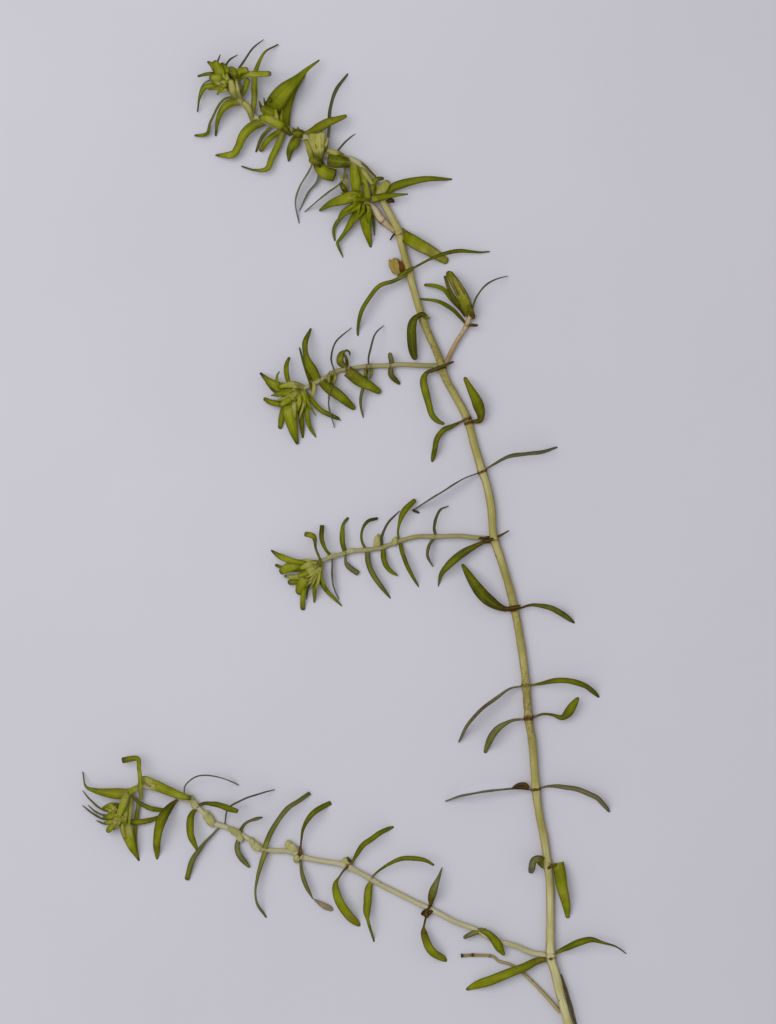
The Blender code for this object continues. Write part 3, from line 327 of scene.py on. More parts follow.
def stemSheet(name, stem, leaves):
    # A round tube along the centre line, lightly ridged, that swells and browns where its leaves leave it
    rng = seeded(name)
    form = stemForm
    length = smoothRoute(stem["route"])[1][-1]
    first, last = -stem.get("into", 0) / length, 1 + stem.get("onward", 0) / length
    t = np.linspace(first, last, int(length / form["step"]))
    inside = np.clip(t, 0, 1)
    line = stemCentreLine(stem, t)
    forward, side, normal = sweepFrame(line)
    angle = np.linspace(0, 2 * np.pi, form["around"], endpoint=False) - np.pi / 2
    along = t * length
    dense = np.linspace(0, 1, form["searchSteps"])
    denseLine = stemCentreLine(stem, dense)[:, :2]
    rings = stem.get("rings", {})
    starts = [inMm(leaf["route"][0]) for leaf in leaves] + [inMm(spot) for spot in rings]
    strengths = [evenly(leaf.get("brown", form["ringBrown"]), np.zeros(1))[0] for leaf in leaves]
    strengths += list(rings.values())
    shape = (len(t), form["around"])
    bulge, brown = np.zeros(shape), np.zeros(shape)
    for start, strength in zip(starts, strengths):  # one pass a node, whole arrays each
        place = dense[np.argmin(np.linalg.norm(denseLine - start, axis=1))] * length
        lump = 1 + form["lumps"] * np.sin(angle * rng.integers(2, 5) + rng.uniform(*phases))
        reach = ((along - place) / form["swellLength"])[:, None]
        ring = ((along - place) / form["ringLength"])[:, None]
        bulge = np.maximum(bulge, form["swell"] * np.exp(-reach ** 2) * lump)
        least, more = form["ringStrength"]
        brown = np.maximum(brown, strength * np.exp(-ring ** 2) * (least + more * lump))
    twist, twistLength = form["ridgeTwist"]
    twisted = twist * np.sin(along[:, None] / twistLength)
    ridges = form["ridgeDepth"] * np.cos(form["ridges"] * angle + twisted)
    slow, quick = form["wobble"]
    wobble = slow * np.sin(along[:, None] * 0.9 + 2 * angle) + quick * np.sin(along[:, None] * 2.3 + 1)
    radius = evenly(stem["radii"], inside)[:, None] * (1 + bulge + ridges + wobble)
    ragged = np.zeros_like(radius)
    if "raggedEnd" in stem:
        middle, fine = form["raggedWaves"]
        ragged = (np.exp(-(along - along[0]) / form["raggedLength"])[:, None] * stem["raggedEnd"]
                  * (np.sin(3 * angle + 1) + middle * np.sin(7 * angle) + fine * np.sin(11 * angle + 2)))
    points = (line[:, None] + side[:, None] * (radius * np.cos(angle))[..., None]
              + normal[:, None] * (radius * np.sin(angle))[..., None] + forward[:, None] * ragged[..., None])
    sweep = closedSweep(points, points[0].mean(axis=0) + forward[0] * stem.get("hollow", 0),
                        points[-1].mean(axis=0))
    aged = evenly(stem.get("brown", 0), inside)[:, None]
    grain = overGrid(shape, np.cos(angle), np.sin(angle), along[:, None])
    traits = overGrid(shape, inside[:, None], evenly(stem.get("tone", 0.5), inside)[:, None],
                      np.clip(brown + aged, 0, 1), 1)
    grain = np.vstack([grain, (0, 0, along[0]), (0, 0, along[-1])])
    return sheetOf(sweep, grain, traits, np.zeros(len(traits) + 2))


# A cushion's grid, the depth of its three lumpy waves, and how much lighter its top is painted
padForm = {"rows": 26, "around": 28, "lumps": (0.07, 0.05, 0.03), "poleGap": 0.05, "topTone": 0.3}


def padSheet(name, pad):
    # A lumpy cushion: an ellipsoid whose radius rises and falls in a few low waves
    rng = seeded(name)
    form = padForm
    x = np.linspace(form["poleGap"], np.pi - form["poleGap"], form["rows"])[:, None]
    angle = np.linspace(0, 2 * np.pi, form["around"], endpoint=False)
    phase = rng.uniform(*phases, 3)
    low, middle, fine = form["lumps"]
    lump = (1 + low * np.sin(3 * x + 2 * angle + phase[0]) + middle * np.sin(5 * x - 3 * angle + phase[1])
            + fine * np.sin(9 * x + 5 * angle + phase[2]))
    turn = np.radians(pad["turn"])
    lengthwise = np.array((np.cos(turn), np.sin(turn), 0))
    crosswise = np.array((-np.sin(turn), np.cos(turn), 0))
    centre = np.append(inMm(pad["place"]), pad["height"])
    points = (centre - lengthwise * (np.cos(x) * lump * pad["length"] / 2)[..., None]
              + crosswise * (np.sin(x) * np.cos(angle) * lump * pad["breadth"] / 2)[..., None]
              + up * (np.sin(x) * np.sin(angle) * lump * pad["depth"] / 2)[..., None])
    shape = (len(x), len(angle))
    grain = overGrid(shape, np.cos(angle), np.sin(angle), x * pad["length"] / 3)
    # Painted light and shade: a cushion is lighter on top and darker underneath
    tone = pad["tone"] + form["topTone"] * np.sin(x) * np.sin(angle)
    traits = overGrid(shape, 0.5, tone, pad.get("brown", 0) * (0.5 - 0.5 * np.cos(angle)), 1)
    sweep = closedSweep(points, points[0].mean(axis=0), points[-1].mean(axis=0))
    return sheetOf(sweep, np.vstack([grain, grain[0], grain[-1]]), traits, np.zeros(len(traits) + 2))


def tuftSheets(name, tufts, depth):
    # Cushions in the joints of a branch, the middle of each at one height
    usual = {"depth": depth, "height": 0.6}
    return [padSheet(f"{name}{number}", dict(usual, **tuft)) for number, tuft in enumerate(tufts)]


# A growing point is a whorl of leaflets round a tuft: outer ones lie out, inner ones stand up
budForm = {"leaflets": 13, "longest": 0.62, "shortest": 0.3, "lowest": 12, "steepest": 72, "width": 0.3,
           "goldenAngle": 137.5, "bow": 0.14, "centreHeight": 0.3, "hub": 0.1, "reachRange": (0.85, 1.15),
           "step": 0.07, "tipShare": 0.16, "fold": 2, "innerNarrower": 0.3, "brown": (0.1, 0, 0, 0.15)}


def budSheets(name, bud):
    # Each leaflet turns on by the golden angle; it grows shorter, steeper and paler towards the middle
    rng = seeded(name)
    form = budForm
    centre = np.append(inMm(bud["place"]), bud["height"] + form["centreHeight"] * bud["breadth"])
    count = bud.get("leaflets", form["leaflets"])
    sheets = []
    for number in range(count):
        level = number / max(count - 1, 1)
        bearing = np.radians(bud["turn"] + form["goldenAngle"] * number)
        stretch = np.hypot(np.cos(bearing - np.radians(bud["turn"])) * bud["length"],
                           np.sin(bearing - np.radians(bud["turn"])) * bud["breadth"])
        share = form["longest"] + (form["shortest"] - form["longest"]) * level
        reach = stretch * share * rng.uniform(*form["reachRange"])
        rise = np.radians(form["lowest"] + (form["steepest"] - form["lowest"]) * level)
        t = bladeRows(reach, form["step"], form["tipShare"])
        out = reach * t * np.cos(rise) + form["hub"] * bud["breadth"]
        height = reach * (t * np.sin(rise) + form["bow"] * np.sin(np.pi * t)) - 0.1 * level
        line = centre + np.column_stack([out * np.cos(bearing), out * np.sin(bearing), height])
        width = (bud["breadth"] * form["width"] * (1 - form["innerNarrower"] * level)
                 * (0.55 + 0.45 * np.sin(np.pi * np.clip(t, 0, 1) ** 0.8)))
        leaf = {"tipShare": form["tipShare"], "fold": form["fold"], "brown": bud.get("brown", form["brown"]),
                "tone": bud.get("tone", 0.75 + 0.25 * level)}
        sheets.append(bladeSheet(line, t, width, 0 * t, leaf, f"{name}{number}", "narrow"))
    return sheets


def pieceMesh(name, sheets, finish, node):
    # All sheets as one mesh, in metres, with the three attributes that the materials read
    offset, quads, fans = 0, [], []
    for sheet in sheets:
        quads.append(sheet["quads"] + offset)
        fans.append(sheet["fans"] + offset)
        offset += len(sheet["points"])
    points, grain, traits, dusk = (np.concatenate([sheet[key] for sheet in sheets])
                                   for key in ("points", "grain", "traits", "dusk"))
    mesh = bpy.data.meshes.new(name)
    mesh.from_pydata((points * mm).tolist(), [], np.vstack(quads).tolist() + np.vstack(fans).tolist())
    attributes = (("grain", "FLOAT_VECTOR", "vector", grain), ("dusk", "FLOAT", "value", dusk),
                  ("traits", "FLOAT_COLOR", "color", traits))
    for label, kind, key, values in attributes:
        mesh.attributes.new(label, kind, "POINT").data.foreach_set(key, values.astype(np.float32).ravel())
    mesh.polygons.foreach_set("use_smooth", np.ones(len(mesh.polygons), bool))
    mesh.materials.append(finishes[finish])
    mesh.update()
    piece = bpy.data.objects.new(name, mesh)
    bpy.context.scene.collection.objects.link(piece)
    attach(piece, "root")
    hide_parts(node)


def camelName(node):
    first, *others = node.split("_")
    return first + "".join(word.capitalize() for word in others)


def singleLeaves(leaves, centre):
    for node, leaf in leaves.items():
        finish = "bright_leaf" if node in brightLeaves else "leaf"
        pieceMesh(camelName(node), [leafSheet(node, leaf, centre)], finish, node)


def rosetteCentre(pixel, height=0.8):
    # Every blade of a rosette starts from its middle and not along a stem
    return np.append(inMm(pixel), height)[None]


def leafyTip(name, leaves, bud, centre, ground, finish, node):
    # The crowded end of a shoot: its blades, and a bud of leaflets at the growing point
    pieceMesh(name, leafSpray(name, leaves, centre, ground) + budSheets(f"{name}Bud", bud), finish, node)


# Shader building

def tint(red, green, blue):
    # A colour as it looks on screen, made linear
    return tuple((channel / 255) ** 2.2 for channel in (red, green, blue)) + (1.0,)


def put(tree, kind, inputs=None, **settings):
    node = tree.nodes.new("ShaderNode" + kind)
    for key, value in settings.items():
        setattr(node, key, value)
    for key, value in (inputs or {}).items():
        if isinstance(value, bpy.types.NodeSocket):
            tree.links.new(value, node.inputs[key])
        else:
            node.inputs[key].default_value = value
    return node


def maths(tree, operation, first, second=0.0):
    return put(tree, "Math", {0: first, 1: second}, operation=operation).outputs[0]


def times(tree, first, second):
    return maths(tree, "MULTIPLY", first, second)


def swung(tree, value, mask, amount):
    # The value, raised and lowered by the mask's swing about its middle
    return maths(tree, "ADD", value, times(tree, maths(tree, "SUBTRACT", mask, 0.5), amount))


def between(tree, value, low, high, fromValue=0.0, toValue=1.0):
    return put(tree, "MapRange", {0: value, 1: low, 2: high, 3: fromValue, 4: toValue},
               interpolation_type="SMOOTHSTEP").outputs[0]


def blendColour(tree, factor, first, second):
    return put(tree, "Mix", {0: factor, 6: first, 7: second}, data_type="RGBA", blend_type="MIX").outputs[2]


def toneColour(tree, tone, colours, full):
    # Even steps through the colours as the tone goes from nothing to full
    ramp = put(tree, "ValToRGB", {0: maths(tree, "DIVIDE", tone, full)})
    stops = ramp.color_ramp.elements
    stops[0].color, stops[1].color = colours[0], colours[-1]
    for number, colour in enumerate(colours[1:-1], 1):
        stops.new(number / (len(colours) - 1)).color = colour
    return ramp.outputs[0]


def newGroup(name, inputs):
    group = bpy.data.node_groups.new(name, "ShaderNodeTree")
    for label, value in inputs.items():
        socket = group.interface.new_socket(name=label, in_out="INPUT", socket_type="NodeSocketFloat")
        socket.default_value = value
    group.interface.new_socket(name="Mask", in_out="OUTPUT", socket_type="NodeSocketFloat")
    return group, group.nodes.new("NodeGroupInput").outputs, group.nodes.new("NodeGroupOutput")


def makeFibres():
    # Lines that run along the piece: noise squeezed across it and stretched along it
    group, given, result = newGroup("plantFibres", {"Across": 6.0, "Along": 0.3, "Low": 0.4, "High": 0.7})
    grain = put(group, "Attribute", attribute_name="grain").outputs["Vector"]
    stretch = put(group, "CombineXYZ", {0: given["Across"], 1: given["Across"], 2: given["Along"]}).outputs[0]
    scaled = put(group, "VectorMath", {0: grain, 1: stretch}, operation="MULTIPLY").outputs[0]
    noise = put(group, "TexNoise", {"Vector": scaled, "Scale": 1.0, "Detail": 3.0,
                                    "Roughness": 0.6}).outputs[0]
    group.links.new(between(group, noise, given["Low"], given["High"]), result.inputs["Mask"])
    return group


def makeMottle():
    # Cloudy patches in the object's own space; Size is in millimetres
    group, given, result = newGroup("plantMottle", {"Size": 2.0, "Low": 0.35, "High": 0.65, "Seed": 0.0})
    place = put(group, "TexCoord").outputs["Object"]
    scale = maths(group, "DIVIDE", 1 / mm, given["Size"])
    noise = put(group, "TexNoise", {"Vector": place, "W": given["Seed"], "Scale": scale, "Detail": 4.0,
                                    "Roughness": 0.55}, noise_dimensions="4D").outputs[0]
    group.links.new(between(group, noise, given["Low"], given["High"]), result.inputs["Mask"])
    return group


def makeSpecks():
    # Small round dots, in only a share of the cells of a lattice of that size in millimetres
    group, given, result = newGroup("plantSpecks", {"Size": 0.5, "Radius": 0.2, "Share": 0.2})
    place = put(group, "TexCoord").outputs["Object"]
    scale = maths(group, "DIVIDE", 1 / mm, given["Size"])
    cells = put(group, "TexVoronoi", {"Vector": place, "Scale": scale})
    red = put(group, "SeparateColor", {0: cells.outputs["Color"]}).outputs[0]
    chosen = maths(group, "LESS_THAN", red, given["Share"])
    near = between(group, cells.outputs["Distance"], given["Radius"], times(group, given["Radius"], 0.5))
    group.links.new(times(group, chosen, near), result.inputs["Mask"])
    return group


effects = {"fibres": makeFibres(), "mottle": makeMottle(), "specks": makeSpecks()}


def effect(tree, name, **values):
    node = tree.nodes.new("ShaderNodeGroup")
    node.node_tree = effects[name]
    for key, value in values.items():
        node.inputs[key.capitalize()].default_value = value
    return node.outputs["Mask"]


def startMaterial(name):
    material = bpy.data.materials.new(name)
    material.use_nodes = True
    tree = material.node_tree
    shader = tree.nodes["Principled BSDF"]
    traits = put(tree, "SeparateColor", {0: put(tree, "Attribute", attribute_name="traits").outputs["Color"]})
    grain = put(tree, "SeparateXYZ", {0: put(tree, "Attribute", attribute_name="grain").outputs["Vector"]})
    return material, tree, shader, traits.outputs, grain.outputs[0]


# Wet living tissue: light enters a little way, under a thin clear film
tissue = {"Subsurface Radius": (0.7, 1.0, 0.25), "Coat Roughness": 0.25, "IOR": 1.4,
          "Specular IOR Level": 0.09}
bumpDepth = 0.04  # millimetres


def finishSurface(tree, shader, colour, fineCloud, relief, marks, look):
    # Colour, a roughness that follows the fine cloud, fine relief, and the tissue's own values
    smoothest = look["rough"] - marks["smoother"]
    rough = between(tree, fineCloud, 0.0, 1.0, smoothest, look["rough"] + marks["rougher"])
    bump = put(tree, "Bump", {"Height": relief, "Strength": look["relief"], "Distance": bumpDepth * mm})
    tree.links.new(colour, shader.inputs["Base Color"])
    tree.links.new(rough, shader.inputs["Roughness"])
    tree.links.new(bump.outputs[0], shader.inputs["Normal"])
    own = {"Subsurface Weight": look["glow"], "Subsurface Scale": look["glowDepth"] * mm,
           "Coat Weight": look["film"]}
    for key, value in {**tissue, **own}.items():
        shader.inputs[key].default_value = value


# Where each mark starts and is full, and how strong it is, on a blade and on a stem
cloudRange = {"low": 0.3, "high": 0.7}
leafMarks = {
    "fineCloud": {"size": 0.35, "seed": 3.0}, "fineSwing": 0.18, "fullTone": 1.5,
    "veins": {"along": 0.35, "low": 0.42, "high": 0.62}, "rib": (0.24, 0.04), "ribFade": (1.0, 0.1, 0.15),
    "paintedEdgeShade": (0.45, 0.95), "duskPaintedEdgeShade": (-1, 0, 0.15), "dusk": (0.55, 0.95, 0.0), "brown": (0.15, 0.95),
    "brownSwing": 0.35, "specks": {"size": 0.42, "radius": 0.2, "share": 0.22}, "speckDepth": 0.55,
    "veinRelief": 0.6, "cloudRelief": 0.5, "smoother": 0.07, "rougher": 0.12,
}
stemMarks = {
    "fineCloud": {"size": 0.3, "seed": 5.0}, "fullTone": 1.0,
    "fibres": {"along": 0.22, "low": 0.4, "high": 0.66}, "paintedSideShade": (0.6, 0.95),
    "paintedSideShadePatches": (0.25, 0.75, 0.15), "brown": (0.16, 0.85), "brownSwing": 0.4, "dotRadius": 0.26,
    "dotDepth": 0.8, "cloudRelief": 0.4, "smoother": 0.06, "rougher": 0.12,
}


def leafMaterial(name, look):
    # Green by the leaf's tone, a pale midrib, fine veins, painted shade darkening the edges, and brown where
    # traits say so. A blade whose dusk is -1 keeps only a trace of the painted edge shade.
    material, tree, shader, traits, u = startMaterial(name)
    along, tone, brown = traits[0], traits[1], traits[2]
    marks = leafMarks
    edge = maths(tree, "ABSOLUTE", u)
    cloud = effect(tree, "mottle", size=look["cloudSize"], **cloudRange)
    fineCloud = effect(tree, "mottle", **marks["fineCloud"], **cloudRange)
    veins = effect(tree, "fibres", across=look["veins"], **marks["veins"])
    shade = swung(tree, swung(tree, tone, cloud, look["cloud"]), fineCloud, marks["fineSwing"])
    colours = [look[key] for key in ("shade", "body", "bright", "creamColour")]
    colour = toneColour(tree, shade, colours, marks["fullTone"])
    dusk = put(tree, "Attribute", attribute_name="dusk").outputs["Fac"]
    ribDepth = between(tree, along, *marks["ribFade"], look["rib"])
    rib = times(tree, between(tree, edge, *marks["rib"]), ribDepth)
    # Painted shade: a blade darkens towards its edges, and a cushion towards its sides
    paintedEdgeShadeDepth = between(tree, dusk, *marks["duskPaintedEdgeShade"], look["paintedEdgeShade"])
    paintedEdgeShade = times(tree, between(tree, edge, *marks["paintedEdgeShade"]), paintedEdgeShadeDepth)
    specks = effect(tree, "specks", **marks["specks"])
    layers = (
        (between(tree, dusk, *marks["dusk"], look["dusk"]), "duskColour"),
        (times(tree, veins, look["veinDepth"]), "shade"),
        (rib, "ribColour"),
        (between(tree, along, look["creamLength"], 0.0, 0.0, look["cream"]), "creamColour"),
        (paintedEdgeShade, "paintedEdgeShadeColour"),
        (between(tree, swung(tree, brown, fineCloud, marks["brownSwing"]), *marks["brown"]), "brown"),
        (between(tree, along, look["tipStart"], 1.0, 0.0, look["tip"]), "tipColour"),
        (times(tree, specks, marks["speckDepth"]), "speckColour"),
    )
    for mask, layer in layers:
        colour = blendColour(tree, mask, colour, look[layer])
    relief = maths(tree, "ADD", times(tree, veins, marks["veinRelief"]),
                   times(tree, fineCloud, marks["cloudRelief"]))
    finishSurface(tree, shader, colour, fineCloud, relief, marks, look)
    return material


def stemMaterial(name, look):
    # Straw to pale by tone, with painted shade in tan patches down each side, long fibres, brown rings and
    # dark dots
    material, tree, shader, traits, sideways = startMaterial(name)
    tone, brown = traits[1], traits[2]
    marks = stemMarks
    cloud = effect(tree, "mottle", size=look["cloudSize"], **cloudRange)
    fineCloud = effect(tree, "mottle", **marks["fineCloud"], **cloudRange)
    fibres = effect(tree, "fibres", across=look["fibres"], **marks["fibres"])
    shade = swung(tree, tone, cloud, look["cloud"])
    colour = toneColour(tree, shade, (look["shade"], look["body"], look["bright"]), marks["fullTone"])
    # Painted shade: the two sides of the stem are tinted tan in patches
    patches = between(tree, cloud, *marks["paintedSideShadePatches"], look["paintedSideShade"])
    paintedSideShade = times(tree, between(tree, maths(tree, "ABSOLUTE", sideways), *marks["paintedSideShade"]), patches)
    dots = effect(tree, "specks", size=look["dotSize"], radius=marks["dotRadius"], share=look["dots"])
    layers = (
        (times(tree, fibres, look["fibreDepth"]), "fibreColour"),
        (paintedSideShade, "paintedSideShadeColour"),
        (between(tree, swung(tree, brown, fineCloud, marks["brownSwing"]), *marks["brown"]), "brown"),
        (times(tree, dots, marks["dotDepth"]), "dotColour"),
    )
    for mask, layer in layers:
        colour = blendColour(tree, mask, colour, look[layer])
    relief = maths(tree, "ADD", fibres, times(tree, fineCloud, marks["cloudRelief"]))
    finishSurface(tree, shader, colour, fineCloud, relief, marks, look)
    return material


# Finishes, in colours as they look on screen
leafLook = {
    "shade": tint(66, 68, 14), "body": tint(94, 98, 6), "bright": tint(114, 118, 4),
    "ribColour": tint(134, 136, 36), "rib": 0.3, "creamColour": tint(150, 142, 66), "cream": 0.2,
    "creamLength": 0.12, "paintedEdgeShadeColour": tint(54, 52, 14), "paintedEdgeShade": 0.7, "brown": tint(72, 50, 22),
    "tipColour": tint(56, 52, 34), "tip": 0.65, "tipStart": 0.93, "speckColour": tint(52, 54, 10),
    "duskColour": tint(106, 103, 78), "dusk": 0.85, "cloud": 0.6, "cloudSize": 2.2, "veins": 5.0,
    "veinDepth": 0.35, "rough": 0.5, "relief": 0.6, "glow": 0.08, "glowDepth": 0.2, "film": 0.02,
}
brightLeafLook = dict(leafLook, shade=tint(80, 84, 8), body=tint(104, 110, 4), bright=tint(122, 126, 2),
                      paintedEdgeShade=0.55)
youngLeafLook = dict(leafLook, shade=tint(78, 80, 14), body=tint(108, 112, 8), bright=tint(130, 134, 22),
                     creamColour=tint(160, 154, 84), cream=0.5, creamLength=0.3, paintedEdgeShade=0.4, tip=0.8,
                     tipStart=0.88, ribColour=tint(158, 158, 66), rib=0.4, glow=0.12)
tuftLook = dict(leafLook, shade=tint(138, 134, 80), body=tint(156, 152, 98), bright=tint(170, 165, 118),
                creamColour=tint(177, 172, 132), cream=0.0, paintedEdgeShade=0.15, paintedEdgeShadeColour=tint(120, 114, 60),
                tip=0.15, speckColour=tint(128, 120, 64), veinDepth=0.2, glow=0.25)
stemLook = {
    "shade": tint(130, 120, 58), "body": tint(160, 152, 92), "bright": tint(188, 182, 134),
    "fibreColour": tint(132, 118, 62), "fibreDepth": 0.35, "paintedSideShadeColour": tint(122, 98, 58), "paintedSideShade": 0.7,
    "brown": tint(74, 44, 18), "dotColour": tint(66, 48, 22), "dots": 0.06, "dotSize": 0.75, "fibres": 3.4,
    "cloud": 0.5, "cloudSize": 5.0, "rough": 0.46, "relief": 0.5, "glow": 0.2, "glowDepth": 0.4, "film": 0.05,
}
lowerStemLook = dict(stemLook, shade=tint(156, 150, 108), body=tint(174, 168, 134),
                     bright=tint(188, 182, 156), fibreColour=tint(140, 132, 90), fibreDepth=0.2,
                     paintedSideShadeColour=tint(140, 130, 84), paintedSideShade=0.5, dots=0.02)
paleStemLook = dict(stemLook, shade=tint(124, 118, 74), body=tint(146, 140, 96), bright=tint(168, 162, 124),
                    fibreDepth=0.2, paintedSideShadeColour=tint(118, 106, 66), paintedSideShade=0.45, dots=0.03)
shootStemLook = dict(stemLook, shade=tint(132, 100, 66), body=tint(168, 144, 106), bright=tint(190, 172, 142),
                     paintedSideShadeColour=tint(92, 60, 34), paintedSideShade=0.9, dots=0.2, dotSize=0.5)
deadLook = dict(stemLook, shade=tint(94, 76, 48), body=tint(136, 120, 82), bright=tint(164, 152, 108),
                paintedSideShadeColour=tint(92, 74, 46), brown=tint(60, 46, 36), dots=0.1, dotSize=0.5, film=0.03)
remnantLook = dict(leafLook, shade=tint(46, 32, 20), body=tint(82, 54, 26), bright=tint(122, 88, 44),
                   creamColour=tint(160, 140, 90), cream=0.0)
ochreLook = dict(leafLook, shade=tint(116, 86, 34), body=tint(146, 120, 56), bright=tint(162, 142, 84),
                 creamColour=tint(172, 158, 108), brown=tint(96, 58, 22), paintedEdgeShade=0.15, tip=0.2, cream=0.0)
fadedLook = dict(leafLook, shade=tint(110, 96, 72), body=tint(130, 116, 90), bright=tint(150, 140, 110),
                 brown=tint(92, 72, 48), paintedEdgeShade=0.2, tip=0.1, cream=0.0, ribColour=tint(146, 134, 104))

finishes = {
    "leaf": leafMaterial("starwortLeaf", leafLook),
    "bright_leaf": leafMaterial("starwortBrightLeaf", brightLeafLook),
    "young_leaf": leafMaterial("starwortYoungLeaf", youngLeafLook),
    "tuft": leafMaterial("starwortTuft", tuftLook),
    "stem": stemMaterial("starwortStem", stemLook),
    "lower_stem": stemMaterial("starwortLowerStem", lowerStemLook),
    "pale_stem": stemMaterial("starwortPaleStem", paleStemLook),
    "shoot": stemMaterial("starwortShootStem", shootStemLook),
    "dead_stem": stemMaterial("starwortDeadStem", deadLook),
    "remnant": leafMaterial("starwortRemnant", remnantLook),
    "ochre": leafMaterial("starwortBud", ochreLook),
    "faded": leafMaterial("starwortFadedBlade", fadedLook),
}
print("finishes:", len(finishes))

brightLeaves = ("leaf_01_left", "leaf_02_right", "leaf_13_right", "lower_leaf_01_lower",
                "lower_leaf_03_lower", "top_leaf_3", "top_leaf_4")

# The main stem, with its cut end just past the lower edge of the picture
mainStem = dict(route=[(573, 1045), (568, 1022), (561, 996), (555, 972), (550.5, 954), (550.5, 913),
    (550, 884), (547.6, 864), (544.5, 840), (539.6, 816), (536, 790), (532.4, 744), (528.8, 720),
    (525.8, 682), (522.5, 654), (518.3, 628), (514, 607), (509.7, 589), (501, 560), (493.6, 536),
    (491.3, 508), (486.8, 485), (481, 468), (474.3, 445), (466.8, 418), (453.7, 393), (445.3, 377.5),
    (437.9, 355), (425.7, 327), (416.4, 299), (409, 272), (402.4, 248), (398.5, 231), (390.8, 216),
    (384.3, 204), (379, 190)], radii=(0.74, 0.58, 0.58, 0.58, 0.58, 0.54, 0.52),
    air=(0, 0.3, 0, 0.25, 0.4, 0, 0.2, 0.3, 0, 0.25, 0.3, 0.1), hollow=0.25, raggedEnd=0.12, onward=0.4,
    rings={(398, 231): 0.35}, tone=(1, 0.85, 0.65, 0.45, 0.4, 0.4, 0.45, 0.45, 0.45, 0.55, 0.7),
    brown=(0, 0, 0, 0, 0.1, 0, 0, 0, 0.36, 0.34, 0.1, 0.3, 0.1, 0.15, 0, 0, 0.1, 0.3, 0.34, 0.1, 0, 0, 0))
